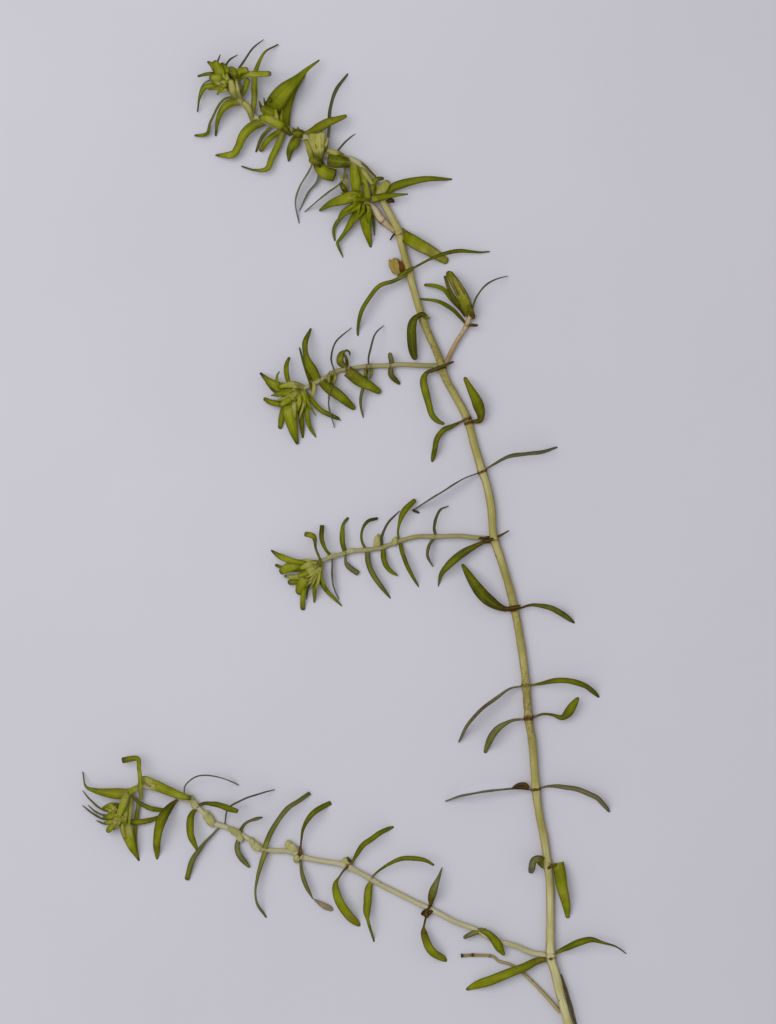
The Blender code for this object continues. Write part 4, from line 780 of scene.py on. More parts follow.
mainLeaves = {
    "leaf_00_right": blade([(579, 1036), (576, 1024), (571, 1006), (565.3, 987), (561, 974)], 0.95,
        (0.4, 0.5, 0.3), roll=64, tone=0.25, brown=(0.6, 0.5, 0.6, 0.5)),
    "leaf_01_left": blade([(544, 959.5), (535, 961.5), (525, 966.5), (510, 972), (495, 977.8), (480, 983.8),
        (466.3, 991)], (0.75, 1.15, 1.25, 1.35, 1.4, 1.2, 0.4), (1, 0.9, 0), roll=10, tone=(0.5, 0.9, 0.9),
        brown=(0.6, 0.33, 0, 0, 0)),
    "leaf_01_right": blade([(556.3, 953), (567, 947), (578, 941), (590, 938), (602, 941), (615, 945.6),
        (627, 955)], (0.5, 0.95, 1.1, 0.85, 0.45, 0.35, 0.15), (1.4, 1.6, 0), roll=(15, 15, 30, 50),
        tone=(0.6, 0.6, 0.3, 0.1), dusk=(0, 0, 0.6, 0.9), brown=(0.4, 0.2, 0.1, 0.3, 0.4)),
    "leaf_02_left": blade([(543.5, 863.5), (539, 859), (534, 858.8), (531.3, 864), (531.3, 874)],
        (1.25, 1.35, 1.05, 1, 0.95, 0.6), (1.6, 1.9, 0.2), tipRound=0.2, roll=5, tone=(0.8, 0.5, 0.5),
        dusk=(0.55, 0.85, 0.9, 0.9), brown=(0.3, 0.25, 0.1, 0)),
    "leaf_02_right": blade([(558, 865.8), (559.6, 874), (562.5, 889), (566, 905), (568.3, 919)],
        (1.75, 1.7, 1.48, 1.15, 0.5), (1.1, 1.2, 0.7, 0.1), rise=1.2, tipRound=0.3, tone=(0.5, 0.8, 1, 1),
        brown=(0.3, 0, 0, 0)),
    "leaf_03_left": blade([(530.3, 789.8), (514, 788.6), (500, 789.6), (480, 792), (462, 795.6), (445, 802)],
        0.9, (0.7, 0.8, 0), roll=78, tone=0, brown=(0.8, 0.35, 0.2, 0.1)),
    "leaf_03_right": blade([(542, 787.8), (549, 786.4), (562, 786.4), (578, 789), (594, 796), (603, 804.3),
        (610, 813)], 1, (1.3, 1.2, 0), roll=40, tone=(0.6, 1.15, 1.1), dusk=0.95,
        brown=(0.2, 0.1, 0, 0, 0.3)),
    "leaf_04_left": blade([(522.8, 719.3), (511, 720.5), (499.5, 726.5), (491.8, 735.5), (487.5, 745.5),
        (485, 753.8)], (0.3, 0.5, 0.95, 0.95, 0.45), (1.2, 1.3, 0), roll=8, tone=(0.2, 0.5, 0.65),
        dusk=(0.85, 0.72), brown=(0.4, 0.1, 0)),
    "leaf_04_right": blade([(535, 716.5), (543, 714), (552, 714.8), (561, 717.5), (566.5, 714),
        (571.5, 706.5), (578.3, 697)], (0.35, 0.35, 0.4, 0.75, 1.3, 1.1, 0.45), (0.8, 0.9, 1.2),
        tone=(0.2, 0.2, 0.3, 0.9, 0.9), brown=(0.4, 0.4, 0.3, 0, 0)),
    "leaf_05_left": blade([(520.2, 686.6), (508.4, 689.5), (491.6, 701), (478.4, 711.6), (467.6, 725),
        (458.6, 743)], 0.95, (1.1, 1.2, 0), roll=64, tone=0.2, brown=(0.2, 0.3, 0.6, 0.4, 0.3)),
    "leaf_05_right": blade([(532.5, 685.2), (542, 683.4), (554, 680.4), (569.6, 680.4), (584, 685),
        (593.6, 692.4), (599.6, 698)], 0.9, (1.5, 1.7, 0), roll=25, tone=(0.4, 0.6, 0.55, 0.3),
        brown=(0.3, 0, 0, 0.2, 0.4)),
    "leaf_06_left": blade([(509, 609.3), (503, 608.5), (495, 604.8), (486, 598), (478, 588.5), (470, 577.5),
        (462, 564)], (0.6, 1.05, 1.55, 1.7, 1.6, 1.3, 0.95, 0.4), (1.3, 1.6, 0.6), tone=(0.1, 0.1, 0.3, 0.3),
        brown=(0.9, 0.3, 0.05, 0, 0)),
    "leaf_06_right": blade([(520.8, 608), (531, 605), (542, 606), (552.4, 608.5), (563, 614.4), (575, 623.5)],
        (0.3, 0.45, 0.65, 0.8, 0.9, 0.8, 0.3), (1, 1.2, 0), roll=20, tone=0.25, dusk=0.65,
        brown=(0.8, 0.2, 0, 0.1)),
    "leaf_07_left": blade([(490, 541.8), (484, 542), (477, 545), (467, 550.5), (457, 557.5), (447.5, 566),
        (441, 574.5), (438.3, 587)], (0.45, 0.6, 0.85, 1.1, 1.15, 1.1, 0.85, 0.5, 0.12), (0.9, 1.3, 0),
        roll=8, tone=0.3, dusk=0.6, brown=(0.35, 0.6, 0.15, 0, 0, 0.1, 0.3)),
    "leaf_08_left": blade([(476.6, 473.6), (463, 479), (446, 489.5), (429, 500), (412.6, 510.5)], 0.85,
        (0.9, 0.9, 0), roll=78, tone=0.1, brown=(0.9, 0.6, 0.6, 0.5, 0.2)),
    "leaf_08_right": blade([(487.2, 468.3), (492.5, 465), (508, 456.7), (525, 454), (541, 452), (558, 447)],
        0.9, (1.2, 1.3, 0), roll=54, tone=(0.7, 0.35, 0.3, 0.3), dusk=0.85, brown=(0.3, 0, 0.1, 0.2)),
    "leaf_09_left": blade([(461.2, 421.5), (450.5, 426.6), (443.7, 430), (437.5, 438), (434.7, 448.7),
        (432, 462)], 0.85, (0.4, 0.9, 0), roll=20, tone=0.45, brown=(0.8, 0.3, 0, 0, 0.2)),
    "leaf_09_right": blade([(473.8, 421.5), (480, 420), (480.5, 412), (476.5, 402), (470.5, 390),
        (464.5, 377)], (0.5, 1.1, 1.6, 1.3, 0.9, 0.5), (1, 1.4, 1.5, 0.8), tone=(0.2, 0.45, 0.6, 0.65),
        brown=(0.8, 0.4, 0.1, 0, 0)),
    "leaf_10_left": blade([(437, 369), (430, 371), (425.5, 374.5), (423.5, 381), (425, 391), (428.5, 404),
        (432, 415), (438, 421.5), (444.4, 424.5)], (0.5, 0.6, 1.05, 1.1, 1, 0.9, 0.8, 0.4), (0.9, 1.2, 1.8),
        roll=10, tone=(0.3, 0.7, 0.8, 0.6), brown=(0.9, 0.4, 0.1, 0, 0, 0.1)),
    "leaf_11_left": blade([(427, 317.5), (421, 315), (415, 319), (411.8, 328), (411.5, 341), (413, 351),
        (415.7, 360)], (0.4, 0.6, 1.2, 1.35, 1.35, 1.2, 0.7), (1.5, 1, 0.6), rise=1.6,
        tone=(0.2, 0.2, 0.1, 0.2), brown=(0.2, 0.3, 0.1, 0, 0, 0.1)),
    "leaf_12_left": blade([(404.2, 275.5), (394, 281), (380, 286), (371, 296), (361.6, 311), (358, 326),
        (357.6, 335.5)], (0.6, 0.65, 0.7, 0.7, 0.6, 0.3), (1.1, 1.2, 0), roll=(20, 25, 30), rise=1.45,
        tone=(0.3, 0.5, 0.4, 0.3), brown=(0.3, 0, 0.1)),
    "leaf_12_right": blade([(412, 269), (430, 259.5), (445, 254), (460, 251), (479, 252), (490, 251)],
        (0.35, 0.4, 0.6, 0.65, 0.45, 0.2), (1.05, 0.9, 0.5, 0.1), roll=(30, 30, 40), rise=1.45,
        tone=(0.2, 0.3, 0.4, 0.2), brown=(0.2, 0, 0.1)),
    "leaf_13_right": blade([(402, 234), (410, 240), (424, 248), (437, 255), (448, 261.5)],
        (1.5, 1.9, 1.75, 1.45, 0.9), (1.3, 0.9, 0.25, 0.1), tipRound=0.3, tone=(0.5, 1.35, 1.4, 1.2),
        brown=(0.5, 0.1, 0, 0)),
    "leaf_14_right_a": blade([(386, 192.6), (390, 189.5), (397, 185.5), (420, 180.5), (437, 179),
        (452.5, 178.5)], (0.8, 1.25, 1.1, 0.85, 0.6, 0.25), (0.9, 1.2, 0), roll=12, tone=(0.5, 0.7, 0.6),
        brown=(0, 0, 0, 0.4)),
    "leaf_14_right_b": blade([(375, 199), (383, 197.5), (390, 196.5), (400, 195.5), (408, 194.5)],
        (1.1, 1, 0.7, 0.45, 0.2), (1.4, 1.3, 1), roll=10, rise=1.4, tone=(0.8, 0.8, 0.4), brown=(0, 0, 0.1)),
}
mainBud = {
    "pad": dict(place=(395.5, 266), length=2.2, breadth=1.6, depth=1.3, height=0.75, turn=95, tone=0.6,
                brown=0.5),
    "leaflets": [
        blade([(401, 277), (397, 268), (395.5, 258)], (0.5, 0.9, 0.3), (1, 0.9), tone=0.8),
        blade([(403, 275), (401.5, 268), (401, 261)], (0.4, 0.7, 0.2), (1.05, 0.9), tone=0,
              brown=(0.9, 1, 0.8)),
        blade([(399, 275), (392, 267), (389.5, 259)], (0.5, 0.8, 0.3), (0.7, 0.5), tone=1),
    ],
}
# Brown remains of old leaves and buds at the joints, and strips that join a leaf pair over the stem
mainRemains = [
    blade([(496, 538), (503, 534), (509, 530.6)], (0.45, 0.3, 0.2), (0.8, 0.7), tone=0.3),
    blade([(493, 541), (485, 539), (475, 538)], (0.5, 0.4, 0.15), (0.75, 0.6), tone=0.2),
    blade([(493.5, 539), (488, 540.5), (482, 541)], (0.45, 0.6, 0.4), (0.95, 0.9), tone=0.2),
    blade([(489, 536.5), (484, 538), (480, 537)], (0.25, 0.3, 0.1), (0.8, 0.7), tone=0.1),
    blade([(397, 232), (393.6, 235), (390, 240)], (0.35, 0.3, 0.2), (0.6, 0.4), tone=0.2),
    blade([(387, 202), (391, 200.5), (394.5, 202)], (0.5, 0.7, 0.4), (0.8, 0.7), tone=0.2),
    blade([(512, 789), (516, 785.5), (521, 783.8), (526, 784.5), (529, 788.5)], (0.3, 0.45, 0.5, 0.4),
        (0.7, 0.8, 0.7), tone=0.4),
    blade([(514, 788.5), (520, 787), (528, 789)], (0.3, 0.6, 0.4), (0.75, 0.75), tone=0.2),
    blade([(520.5, 606.3), (513, 607.5), (505, 608.5)], (0.5, 0.55, 0.45), (1, 1.02), tone=0.4),
    blade([(412, 510), (416, 511.5), (419.5, 513)], (0.2, 0.35, 0.2), (0.2, 0.1), tone=0.1),
]
mainCrossings = [
    blade([(430, 371.5), (439, 367.8), (447, 364.5), (454, 361.5)], (0.6, 0.45, 0.4, 0.25), (1.05, 1, 0.7),
        rise=1.5, tone=0.2, brown=(0.7, 0.5, 0.5, 0.9)),
    blade([(398, 277), (405, 272.8), (414, 267.6)], (0.55, 0.6, 0.5), (1, 0.95), rise=1.4, tone=0.2,
        brown=0.15),
    blade([(416, 318), (422, 314.5), (428, 318)], (0.6, 0.75, 0.3), (1.1, 1), rise=1.5, tone=0.2,
        brown=(0.1, 0.3, 0.5)),
    blade([(547.5, 868.5), (551.5, 865.3), (557, 864.3)], (0.35, 0.5, 0.45), (0.95, 0.9), rise=1.35, tone=0.2,
        brown=(0.65, 0.5, 0.3)),
]
mainCentre = centreOf(mainStem, "stem")
pieceMesh("mainStem", [stemSheet("mainStem", mainStem, mainLeaves.values())], "stem", "main_stem")
pieceMesh("mainStemBud", [padSheet("mainStemBud", mainBud["pad"])]
          + leafSpray("mainStemBud", mainBud["leaflets"], mainCentre, 1), "ochre", "main_stem")
singleLeaves(mainLeaves, mainCentre)
pieceMesh("mainStemCrossings", leafSpray("mainCrossings", mainCrossings, mainCentre, 0.3), "leaf",
          "main_stem")
pieceMesh("mainStemRemains", leafSpray("mainRemains", lyingStrips(mainRemains), mainCentre, 0.3), "remnant",
          "main_stem")
print("main stem and its leaves:", len(mainLeaves))

# The lower branch, with pale young tissue in its leaf joints
lowerBranch = dict(route=[(545, 955.3), (531.5, 953), (514, 945.6), (493, 939.7), (475.7, 929.5), (455, 922),
    (434, 911), (415, 902.4), (399, 894.5), (381, 885.4), (371.6, 879.7), (351, 868.4), (340, 864),
    (324, 861.6), (305, 858), (291, 852), (273, 851), (260, 849), (250.7, 841), (237, 833), (224, 827),
    (212, 823), (206.7, 817), (195, 805), (180, 798), (160, 791), (145, 787)],
    radii=(0.4, 0.38, 0.38, 0.34, 0.3), air=(0.2, 0.6, 0.3, 0, 0.4, 0.2, 0, 0.3, 0.4), into=0.6, onward=0.4,
    tone=(0.35, 0.45, 0.45, 0.5, 0.6), brown=(0.1, 0))
lowerLeaves = {
    "lower_leaf_00_left": blade([(483, 931), (476, 931.5), (469, 935), (463.5, 938.5)], (0.8, 0.85, 0.7, 0.5),
        (0.8, 0.5), roll=10, rise=1.25, tone=(1, 0.9, 0.1), dusk=(0.7, 0.9), brown=(0, 0.1, 0.5)),
    "lower_leaf_00_right": blade([(483, 930.5), (489, 933.5), (496, 942), (504.5, 955.5)],
        (0.7, 1.1, 1.25, 0.4), (1.05, 1.05, 0.6), rise=1.4, tone=(0.5, 0.9, 0.9), brown=(0.3, 0, 0, 0.1)),
    "lower_leaf_01_upper": blade([(430.6, 905), (431.5, 896), (435.5, 884), (442.4, 867.5)],
        (0.5, 1.05, 1.15, 0.8, 0.45, 0.15), (1.3, 1.4, 0.5), tone=(0.8, 0.8, 0.2), dusk=(0.5, 0.85, 0.85),
        brown=(0.8, 0.45, 0.25, 0.15, 0.4)),
    "lower_leaf_01_lower": blade([(427.5, 912), (425, 921), (423.5, 929), (425.5, 938), (432, 950),
        (447, 962.5)], (0.3, 0.3, 0.3, 0.35, 0.9, 1.05, 1.15, 1.2, 1.2, 1.15, 1.1, 0.9, 0.4), (0.9, 1.4, 0),
        tone=(0.2, 0.5, 0.9, 0.9), brown=(0.9, 0.6, 0, 0)),
    "lower_leaf_02_upper": blade([(373, 876.4), (380.7, 869), (389.7, 862.7), (401, 857.5), (414.7, 857),
        (426, 859), (434, 863.5)], (0.25, 0.35, 0.5, 0.65, 0.7, 0.6, 0.3), (1.2, 1.6, 1.9, 2.1),
        tone=(0.2, 0.5, 0.6), brown=(0.4, 0.1, 0, 0)),
    "lower_leaf_02_lower": blade([(371.3, 882), (368.3, 890), (367.3, 902), (367.4, 916), (374, 943)],
        (0.5, 1, 1.12, 1.15, 1.1, 0.95, 0.5, 0.45, 0.4, 0.35, 0.2), (0.9, 1.1, 0), roll=(0, 5, 20),
        tone=(0.9, 0.9, 0.6, 0.2), brown=(0, 0, 0.1, 0.4)),
    "lower_leaf_03_upper": blade([(351.5, 864.2), (357, 854), (362.5, 845), (371.6, 838), (381, 832),
        (394, 827.6)], 0.85, (1.1, 1.4, 0), roll=20, tone=0.6, brown=(0.2, 0, 0, 0.1)),
    "lower_leaf_03_lower": blade([(346.5, 867), (340, 876), (335.8, 885), (339, 900), (349, 915), (360, 927)],
        (0.45, 0.3, 0.35, 0.9, 1.15, 1.25, 1.3, 1.3, 1.25, 1, 0.45), (0.8, 1.2, 0), roll=(30, 5, 0),
        tone=(0.2, 0.5, 1, 1, 1), brown=(0.8, 0.4, 0, 0, 0)),
    "lower_leaf_04_upper": blade([(300.3, 851), (301.3, 841), (303, 829), (308, 819), (316, 810.6),
        (331, 803)], (0.25, 0.3, 0.5, 0.75, 0.8, 0.6), (1, 1.2, 0), tipRound=0.2, tone=(0.2, 0.4, 0.5),
        brown=(0.8, 0.5, 0.1, 0)),
    "lower_leaf_04_lower": blade([(300.3, 861.8), (301.5, 871), (304.5, 881), (308.5, 890.5), (313, 899)],
        (0.4, 0.6, 0.75, 0.6, 0.15), (0.8, 0.9, 0.7), roll=25, tone=(0.5, 0.5, 0.4), dusk=0.75,
        brown=(0.4, 0.1, 0.2, 0.4)),
    "lower_leaf_05_upper": blade([(265.8, 845.3), (268, 839), (272, 830), (280, 817), (289, 806.7),
        (300, 800), (310, 793)], (0.85, 0.85, 0.8, 0.8, 0.75, 0.6), (1.1, 1.3, 0.2), tipRound=0.2, roll=25,
        rise=1.1, tone=(1, 0.9, 0.7), dusk=(0.7, 0.8, 0.75), brown=(0.1, 0, 0)),
    "lower_leaf_05_lower": blade([(264.5, 854.5), (261.5, 863), (257.8, 876), (255.5, 890), (257.5, 904),
        (266, 918.7)], (0.85, 0.7, 0.5, 0.35, 0.45, 0.3), (0.8, 0.9, 0), roll=(25, 30, 20), rise=1.1,
        tone=(0.7, 0.5, 0.2), dusk=(0.7, 0.85), brown=(0.1, 0.1, 0.3)),
    "lower_leaf_06_upper": blade([(240.5, 835), (241.4, 829), (246, 822.5), (252, 819.5), (263, 816.8)],
        (0.5, 0.55, 0.5, 0.45, 0.6, 0.25), (1.2, 1), roll=25, tone=(0.4, 0.3, 0.2), dusk=(0.7, 0.9),
        brown=(0.2, 0.1, 0.3)),
    "lower_leaf_06_lower": blade([(238.4, 838.4), (237, 847), (240.5, 857), (249.5, 868)],
        (0.4, 0.75, 0.85, 0.8, 0.4), (0.6, 0.2), roll=10, tone=(0.5, 0.6, 0.7), dusk=(0.9, 0.75),
        brown=(0.1, 0.2, 0, 0)),
    "lower_leaf_07_upper": blade([(224.8, 822.6), (226.5, 812), (232, 805), (252, 795.5), (274.7, 790)], 0.75,
        (0.6, 1, 0.1), roll=68, tone=0.2, brown=(0.2, 0.3, 0.3)),
    "lower_leaf_07_lower": blade([(218, 828.5), (212, 835), (203, 845), (192, 861), (186, 881)],
        (0.35, 0.45, 0.75, 0.85, 0.75), (0.3, 0.4, 0), tipRound=0.3, roll=(45, 30, 20), tone=(0.2, 0.5, 0.7),
        dusk=(0.85, 0.75, 0.65), brown=(0.1, 0, 0.1)),
    "lower_leaf_08_upper": blade([(199.6, 805), (207, 802.5), (217, 803), (228, 806), (239, 810)],
        (0.45, 0.65, 0.85, 0.95, 0.65), (1.9, 2.2, 2), tipRound=0.2, roll=15, tone=(0.3, 0.5, 0.75),
        brown=(0.5, 0.2, 0, 0)),
    "lower_leaf_08_lower": blade([(196, 808.5), (191.5, 815), (190.3, 823), (192, 835), (198, 849)],
        (0.4, 1, 1.05, 0.9, 0.4), (1.2, 1.6, 1.6), tone=(0.5, 0.8, 0.8), brown=(0.5, 0.1, 0)),
    "lower_leaf_09_upper": blade([(183.8, 794.8), (185, 786), (191.5, 779), (200, 775.2), (210.7, 775),
        (225, 778.7), (238.7, 786)], 0.7, (0.9, 1, 0), roll=72, tone=0.1, brown=(0.2, 0.4, 0.4)),
    "lower_leaf_09_lower": blade([(176.5, 800.5), (171, 806), (164.5, 815), (160, 825), (157.5, 838),
        (156.5, 860.4)], (0.4, 1.15, 1.5, 1.3, 1.1, 0.95, 0.3), (1.6, 1.2, 0), tone=(0.1, 0.6, 1, 0.8),
        brown=(0.6, 0.1, 0, 0.1)),
}
fadedEnd = blade([(313, 898.5), (318, 902.5), (325, 906.5), (333, 911.5)], (0.05, 0.5, 0.8, 0.85, 0.5),
    (0.4, 0), rise=0.75, tone=(0.3, 0.9, 0.7), brown=(0.5, 0.3, 0.1))
lowerRemains = [
    blade([(429, 909.5), (425, 912), (421.5, 915.5)], (0.5, 0.8, 0.4), (0.7, 0.5), tone=0.2),
    blade([(427, 910.5), (426, 914), (428, 918)], (0.4, 0.7, 0.4), (0.75, 0.4), tone=0.5),
    blade([(432.5, 910.5), (428, 913.5), (424, 911.5)], (0.4, 0.6, 0.35), (0.7, 0.6), tone=0),
    blade([(347, 857), (350.5, 862)], (0.3, 0.5), (0.7, 0.7), tone=0.3),
    blade([(300, 846), (300.5, 853), (298, 858)], (0.35, 0.5, 0.3), (0.7, 0.6), tone=0.6),
]
lowerTufts = [
    dict(place=(292, 849), length=2.2, breadth=1.5, turn=130, tone=0.5),
    dict(place=(297.5, 858), length=1.5, breadth=1.1, turn=60, tone=0.3, brown=0.3),
    dict(place=(288, 845), length=1.3, breadth=1, turn=80, tone=0.6),
    dict(place=(257, 847), length=1.9, breadth=1.3, turn=150, tone=0.4),
    dict(place=(252, 842), length=1.3, breadth=0.9, turn=110, tone=0.5),
    dict(place=(235, 832), length=2.4, breadth=1.1, turn=150, tone=0.3),
    dict(place=(240, 838), length=1.4, breadth=1, turn=110, tone=0.5),
    dict(place=(210, 820.5), length=2, breadth=1.4, turn=120, tone=0.5),
    dict(place=(206, 815), length=1.3, breadth=0.9, turn=70, tone=0.6),
    dict(place=(346, 862), length=1.5, breadth=1.2, turn=30, tone=0.5, brown=0.2),
    dict(place=(194, 804), length=1.7, breadth=1.1, turn=120, tone=0.7),
    dict(place=(190, 799), length=1.2, breadth=1, turn=60, tone=0.8),
]
lowerCentre = centreOf(lowerBranch, "stem")
pieceMesh("lowerBranch", [stemSheet("lowerBranch", lowerBranch, lowerLeaves.values())], "lower_stem",
          "lower_branch")
singleLeaves(lowerLeaves, lowerCentre)
pieceMesh("lowerLeaf04LowerEnd", [smallBlade("fadedEnd", fadedEnd, lowerCentre)], "faded",
          "lower_leaf_04_lower")
pieceMesh("lowerBranchRemains", leafSpray("lowerRemains", lyingStrips(lowerRemains), lowerCentre, 0.3),
          "remnant", "lower_branch")
pieceMesh("lowerBranchTufts", tuftSheets("lowerTuft", lowerTufts, 0.95), "tuft", "lower_branch")

lowerTipStem = dict(route=[(142.2, 786.4), (135.7, 789), (127, 794.5), (121.7, 805), (117, 815)],
    radii=(0.3, 0.38, 0.34), air=(0.4, 0.3, 0.5), into=0.3, tone=0.8)
lowerTipLeaves = [
    blade([(138, 788), (144, 779), (155, 783), (168, 789.5), (180, 794.5), (192, 797.3)],
        (0.5, 1, 1.4, 1.35, 1.1, 0.65), (1.4, 1.5, 1.4), tipRound=0.15, tone=(0.6, 1.2, 1.1, 0.6, 1, 0.9)),
    blade([(141, 800), (141.5, 790), (141.3, 782), (140, 768), (138, 757.5), (122, 760.5)],
        (0.6, 0.65, 0.65, 0.6, 0.65, 0.85, 0.85), (1.7, 1.7, 1.5, 0.8), tipRound=0.1, roll=(15, 20, 10, 0),
        tone=(0.7, 1.1, 1.2, 1, 0.3, 0.2), brown=(0, 0.2, 0.2, 0.1, 0.1)),
    blade([(133, 793.5), (120, 793.5), (107, 792.3), (95, 789.5), (86, 785.5), (82, 772)],
        (1.2, 1.6, 1.3, 0.75, 0.3, 0.15), (1.2, 1.3, 0.2), tone=(1.2, 0.9, 0.5, 0.4, 0)),
    blade([(117, 812), (103, 809), (92, 801), (82, 791)], 0.6, (0.9, 0.7, 0.2), roll=68, tone=(0.9, 0.1, 0)),
    blade([(116, 815), (107.7, 814.7), (98, 812), (88, 805)], 0.6, (1.3, 1.2, 0.7), roll=68,
        tone=(0.9, 0.1, 0)),
    blade([(115, 817), (105, 819), (95, 815), (81.5, 806)], 0.6, (0.6, 0.3, 0), roll=68, tone=(0.9, 0.1, 0)),
    blade([(117, 820), (107, 824), (95.5, 821)], 0.6, (0.5, 0.2), roll=68, tone=(0.9, 0.3, 0)),
    blade([(116, 820), (112, 826), (107, 832)], (0.8, 0.9, 0.75), (1.1, 0.8), roll=10, tone=(1, 0.9, 0.3),
        brown=(0, 0, 0.4)),
    blade([(123, 812), (126, 827), (132, 845), (138.5, 862)], (1.3, 1.75, 1.2, 0.25), (1.2, 0.9, 0),
        tone=(1.4, 1.35, 1, 0.4)),
    blade([(134, 797), (138, 804), (136, 818), (134.5, 838), (136.8, 857)], (0.5, 0.6, 0.6, 0.6, 0.3),
        (0.3, 0.2, 0), roll=15, tone=(0.4, 0.6, 0.9)),
    blade([(128, 792), (134, 798.5), (141, 803.5), (151, 808.5), (164, 811)], (0.3, 0.4, 0.7, 0.75, 0.6),
        (0.6, 0.6, 0.2), roll=15, tone=(0.1, 0.3, 0.3), brown=(0.4, 0.2, 0)),
    blade([(121, 818), (134, 822.3), (148, 821), (158.5, 817.5)], (0.7, 0.85, 0.8, 0.5), (0.5, 0.5, 0.1),
        roll=10, tone=(0.8, 0.5, 0.4)),
]
lowerTipCover = [
    blade([(130, 789), (125, 800), (121, 811), (117, 821)], (0.8, 1.05, 0.9, 0.5), (1.5, 1.7, 1.4), dusk=-1,
        tone=(1.3, 1.2, 1, 0.9)),
    blade([(145, 786), (137, 788), (128, 792)], (0.7, 0.9, 0.7), (1.1, 1.2), dusk=-1, tone=(1.3, 1.2, 1.1)),
    blade([(149, 787), (152.5, 785), (157, 789)], (0.6, 1, 0.5), (1.7, 1.5), dusk=-1, tone=1.5),
    blade([(128, 797), (126, 812), (125, 830)], (0.6, 0.75, 0.3), (1.4, 1.3), tone=(1.3, 1.2, 1)),
    blade([(131.5, 797), (130, 812), (129.5, 828)], (0.5, 0.6, 0.25), (1.2, 1.2), dusk=-1, tone=1.3),
    blade([(120, 811), (113, 814), (104.5, 816)], (0.6, 0.8, 0.4), (1.7, 1.2), tone=(1, 1, 0.6)),
    blade([(121, 806), (112, 805), (102.5, 808)], (0.7, 0.85, 0.35), (1.3, 0.9), tone=(1, 0.9, 0.4)),
    blade([(119, 816), (112, 820.5), (104.5, 822.5)], (0.6, 0.8, 0.4), (1.5, 1.1), tone=(1, 1, 0.5)),
    blade([(120, 817), (116, 825), (113, 829.5)], (0.8, 0.9, 0.5), (1.3, 0.9), tone=1),
    blade([(124.5, 815), (123.5, 826), (126, 838)], (0.4, 0.45, 0.2), (1.8, 1.5), tone=1.4),
]
lowerTipFan = dict(place=(121, 811), bearings=(150, 285), count=24, reach=(8, 19), spread=4, width=0.6,
    air=(1.7, 1.2), tones=((1.5, 1.3, 1), (1.1, 1.1, 0.9), (1.2, 1.1, 0.7)))
lowerTipBud = dict(place=(116, 817), length=1.8, breadth=1.5, height=0.4, turn=70)
pieceMesh("lowerTipStem", [stemSheet("lowerTipStem", lowerTipStem, [])], "pale_stem", "lower_tip")
leafyTip("lowerTip", lowerTipLeaves + lowerTipCover + fanLeaves("lowerTipFan", lowerTipFan), lowerTipBud,
         centreOf(lowerTipStem, "shoot"), 0.85, "young_leaf", "lower_tip")
print("lower branch and its tip:", len(lowerLeaves) + len(lowerTipLeaves), "leaves")

# The middle branch
middleBranch = dict(route=[(488.8, 538.6), (473, 537.6), (459, 536), (436, 536.7), (417, 536.7), (399, 541.5),
    (382, 547.5), (367, 550), (353, 551), (344, 553.5), (331, 557), (325.5, 559.5)], radii=(0.34, 0.32, 0.29),
    air=(0.3, 0.7, 0.3, 0, 0.3, 0.5), into=0.6, onward=1.2, tone=(0.45, 0.45, 0.5, 0.5, 0.7))
middleLeaves = [
    blade([(436, 536.7), (434, 528), (436, 518), (440.5, 509.6), (449, 506)], 0.7, (0.9, 1, 0.3), roll=50),
    blade([(435, 536.7), (429, 546), (427.6, 556), (433, 567)], 0.7, (0.8, 0.2), roll=50),
    blade([(398.7, 541.6), (398.2, 529), (404, 511.5), (415.5, 499.3)], (0.3, 0.4, 0.9, 0.6),
        (0.9, 1.1, 0.4)),
    blade([(400, 541.3), (402.4, 552), (408, 567.5), (419, 587.5)], 0.7, (0.9, 0.8, 0), roll=25),
    blade([(382.3, 547.4), (382, 536), (388, 523), (400, 510.5)], 0.65, (0.8, 1, 0.2), roll=55),
    blade([(383, 547.2), (384, 560), (389.7, 570), (398, 576)], 0.8, (0.8, 0.3), roll=15),
    blade([(366, 550.2), (361.8, 541), (362, 531), (367.5, 521.5), (378, 518)], (0.4, 0.4, 0.4, 0.55, 0.45),
        (0.9, 0.9, 0.2), roll=25, tone=(0.5, 0.3, 0.2, 0)),
    blade([(367, 550), (368.6, 563), (374.5, 577), (390.7, 599)], 0.85, (0.8, 0.8, 0), roll=20, dusk=0.72),
    blade([(345, 553.2), (342.5, 540), (342.5, 529), (344, 523), (348.5, 517.5)],
        (0.6, 0.75, 0.75, 0.5, 0.35), (0.9, 0.7, 0.1), roll=15, tone=(0.5, 0.7, 0.6, 0), dusk=0.6),
    blade([(345.5, 553), (345.3, 560), (347, 564.5), (352, 569.5), (358.5, 574)],
        (0.35, 0.35, 0.75, 0.8, 0.75), (0.5, 0.2), tipRound=0.15, roll=10, tone=0.3, dusk=0.85,
        brown=(0.5, 0.2, 0.1)),
    blade([(332, 556.8), (325.5, 549), (322, 539), (322, 525)], (0.35, 0.45, 0.62, 0.68, 0.66),
        (1.2, 1.3, 0.5), tipRound=0.1, roll=10, tone=(0.4, 0.5, 0.4, 0.1)),
    blade([(332.3, 556.8), (332.3, 578), (334.7, 590), (339, 600)], 0.65, (0.4, 0.5, 0), roll=68),
]
middleTufts = [
    dict(place=(377.5, 541), length=1.9, breadth=1.1, turn=80, tone=0.5),
    dict(place=(395, 541.5), length=1.3, breadth=0.9, turn=80, tone=0.3, brown=0.3),
    dict(place=(351, 551), length=1.5, breadth=0.8, turn=10, tone=0.4),
    dict(place=(331, 556), length=1.4, breadth=0.9, turn=20, tone=0.6),
]
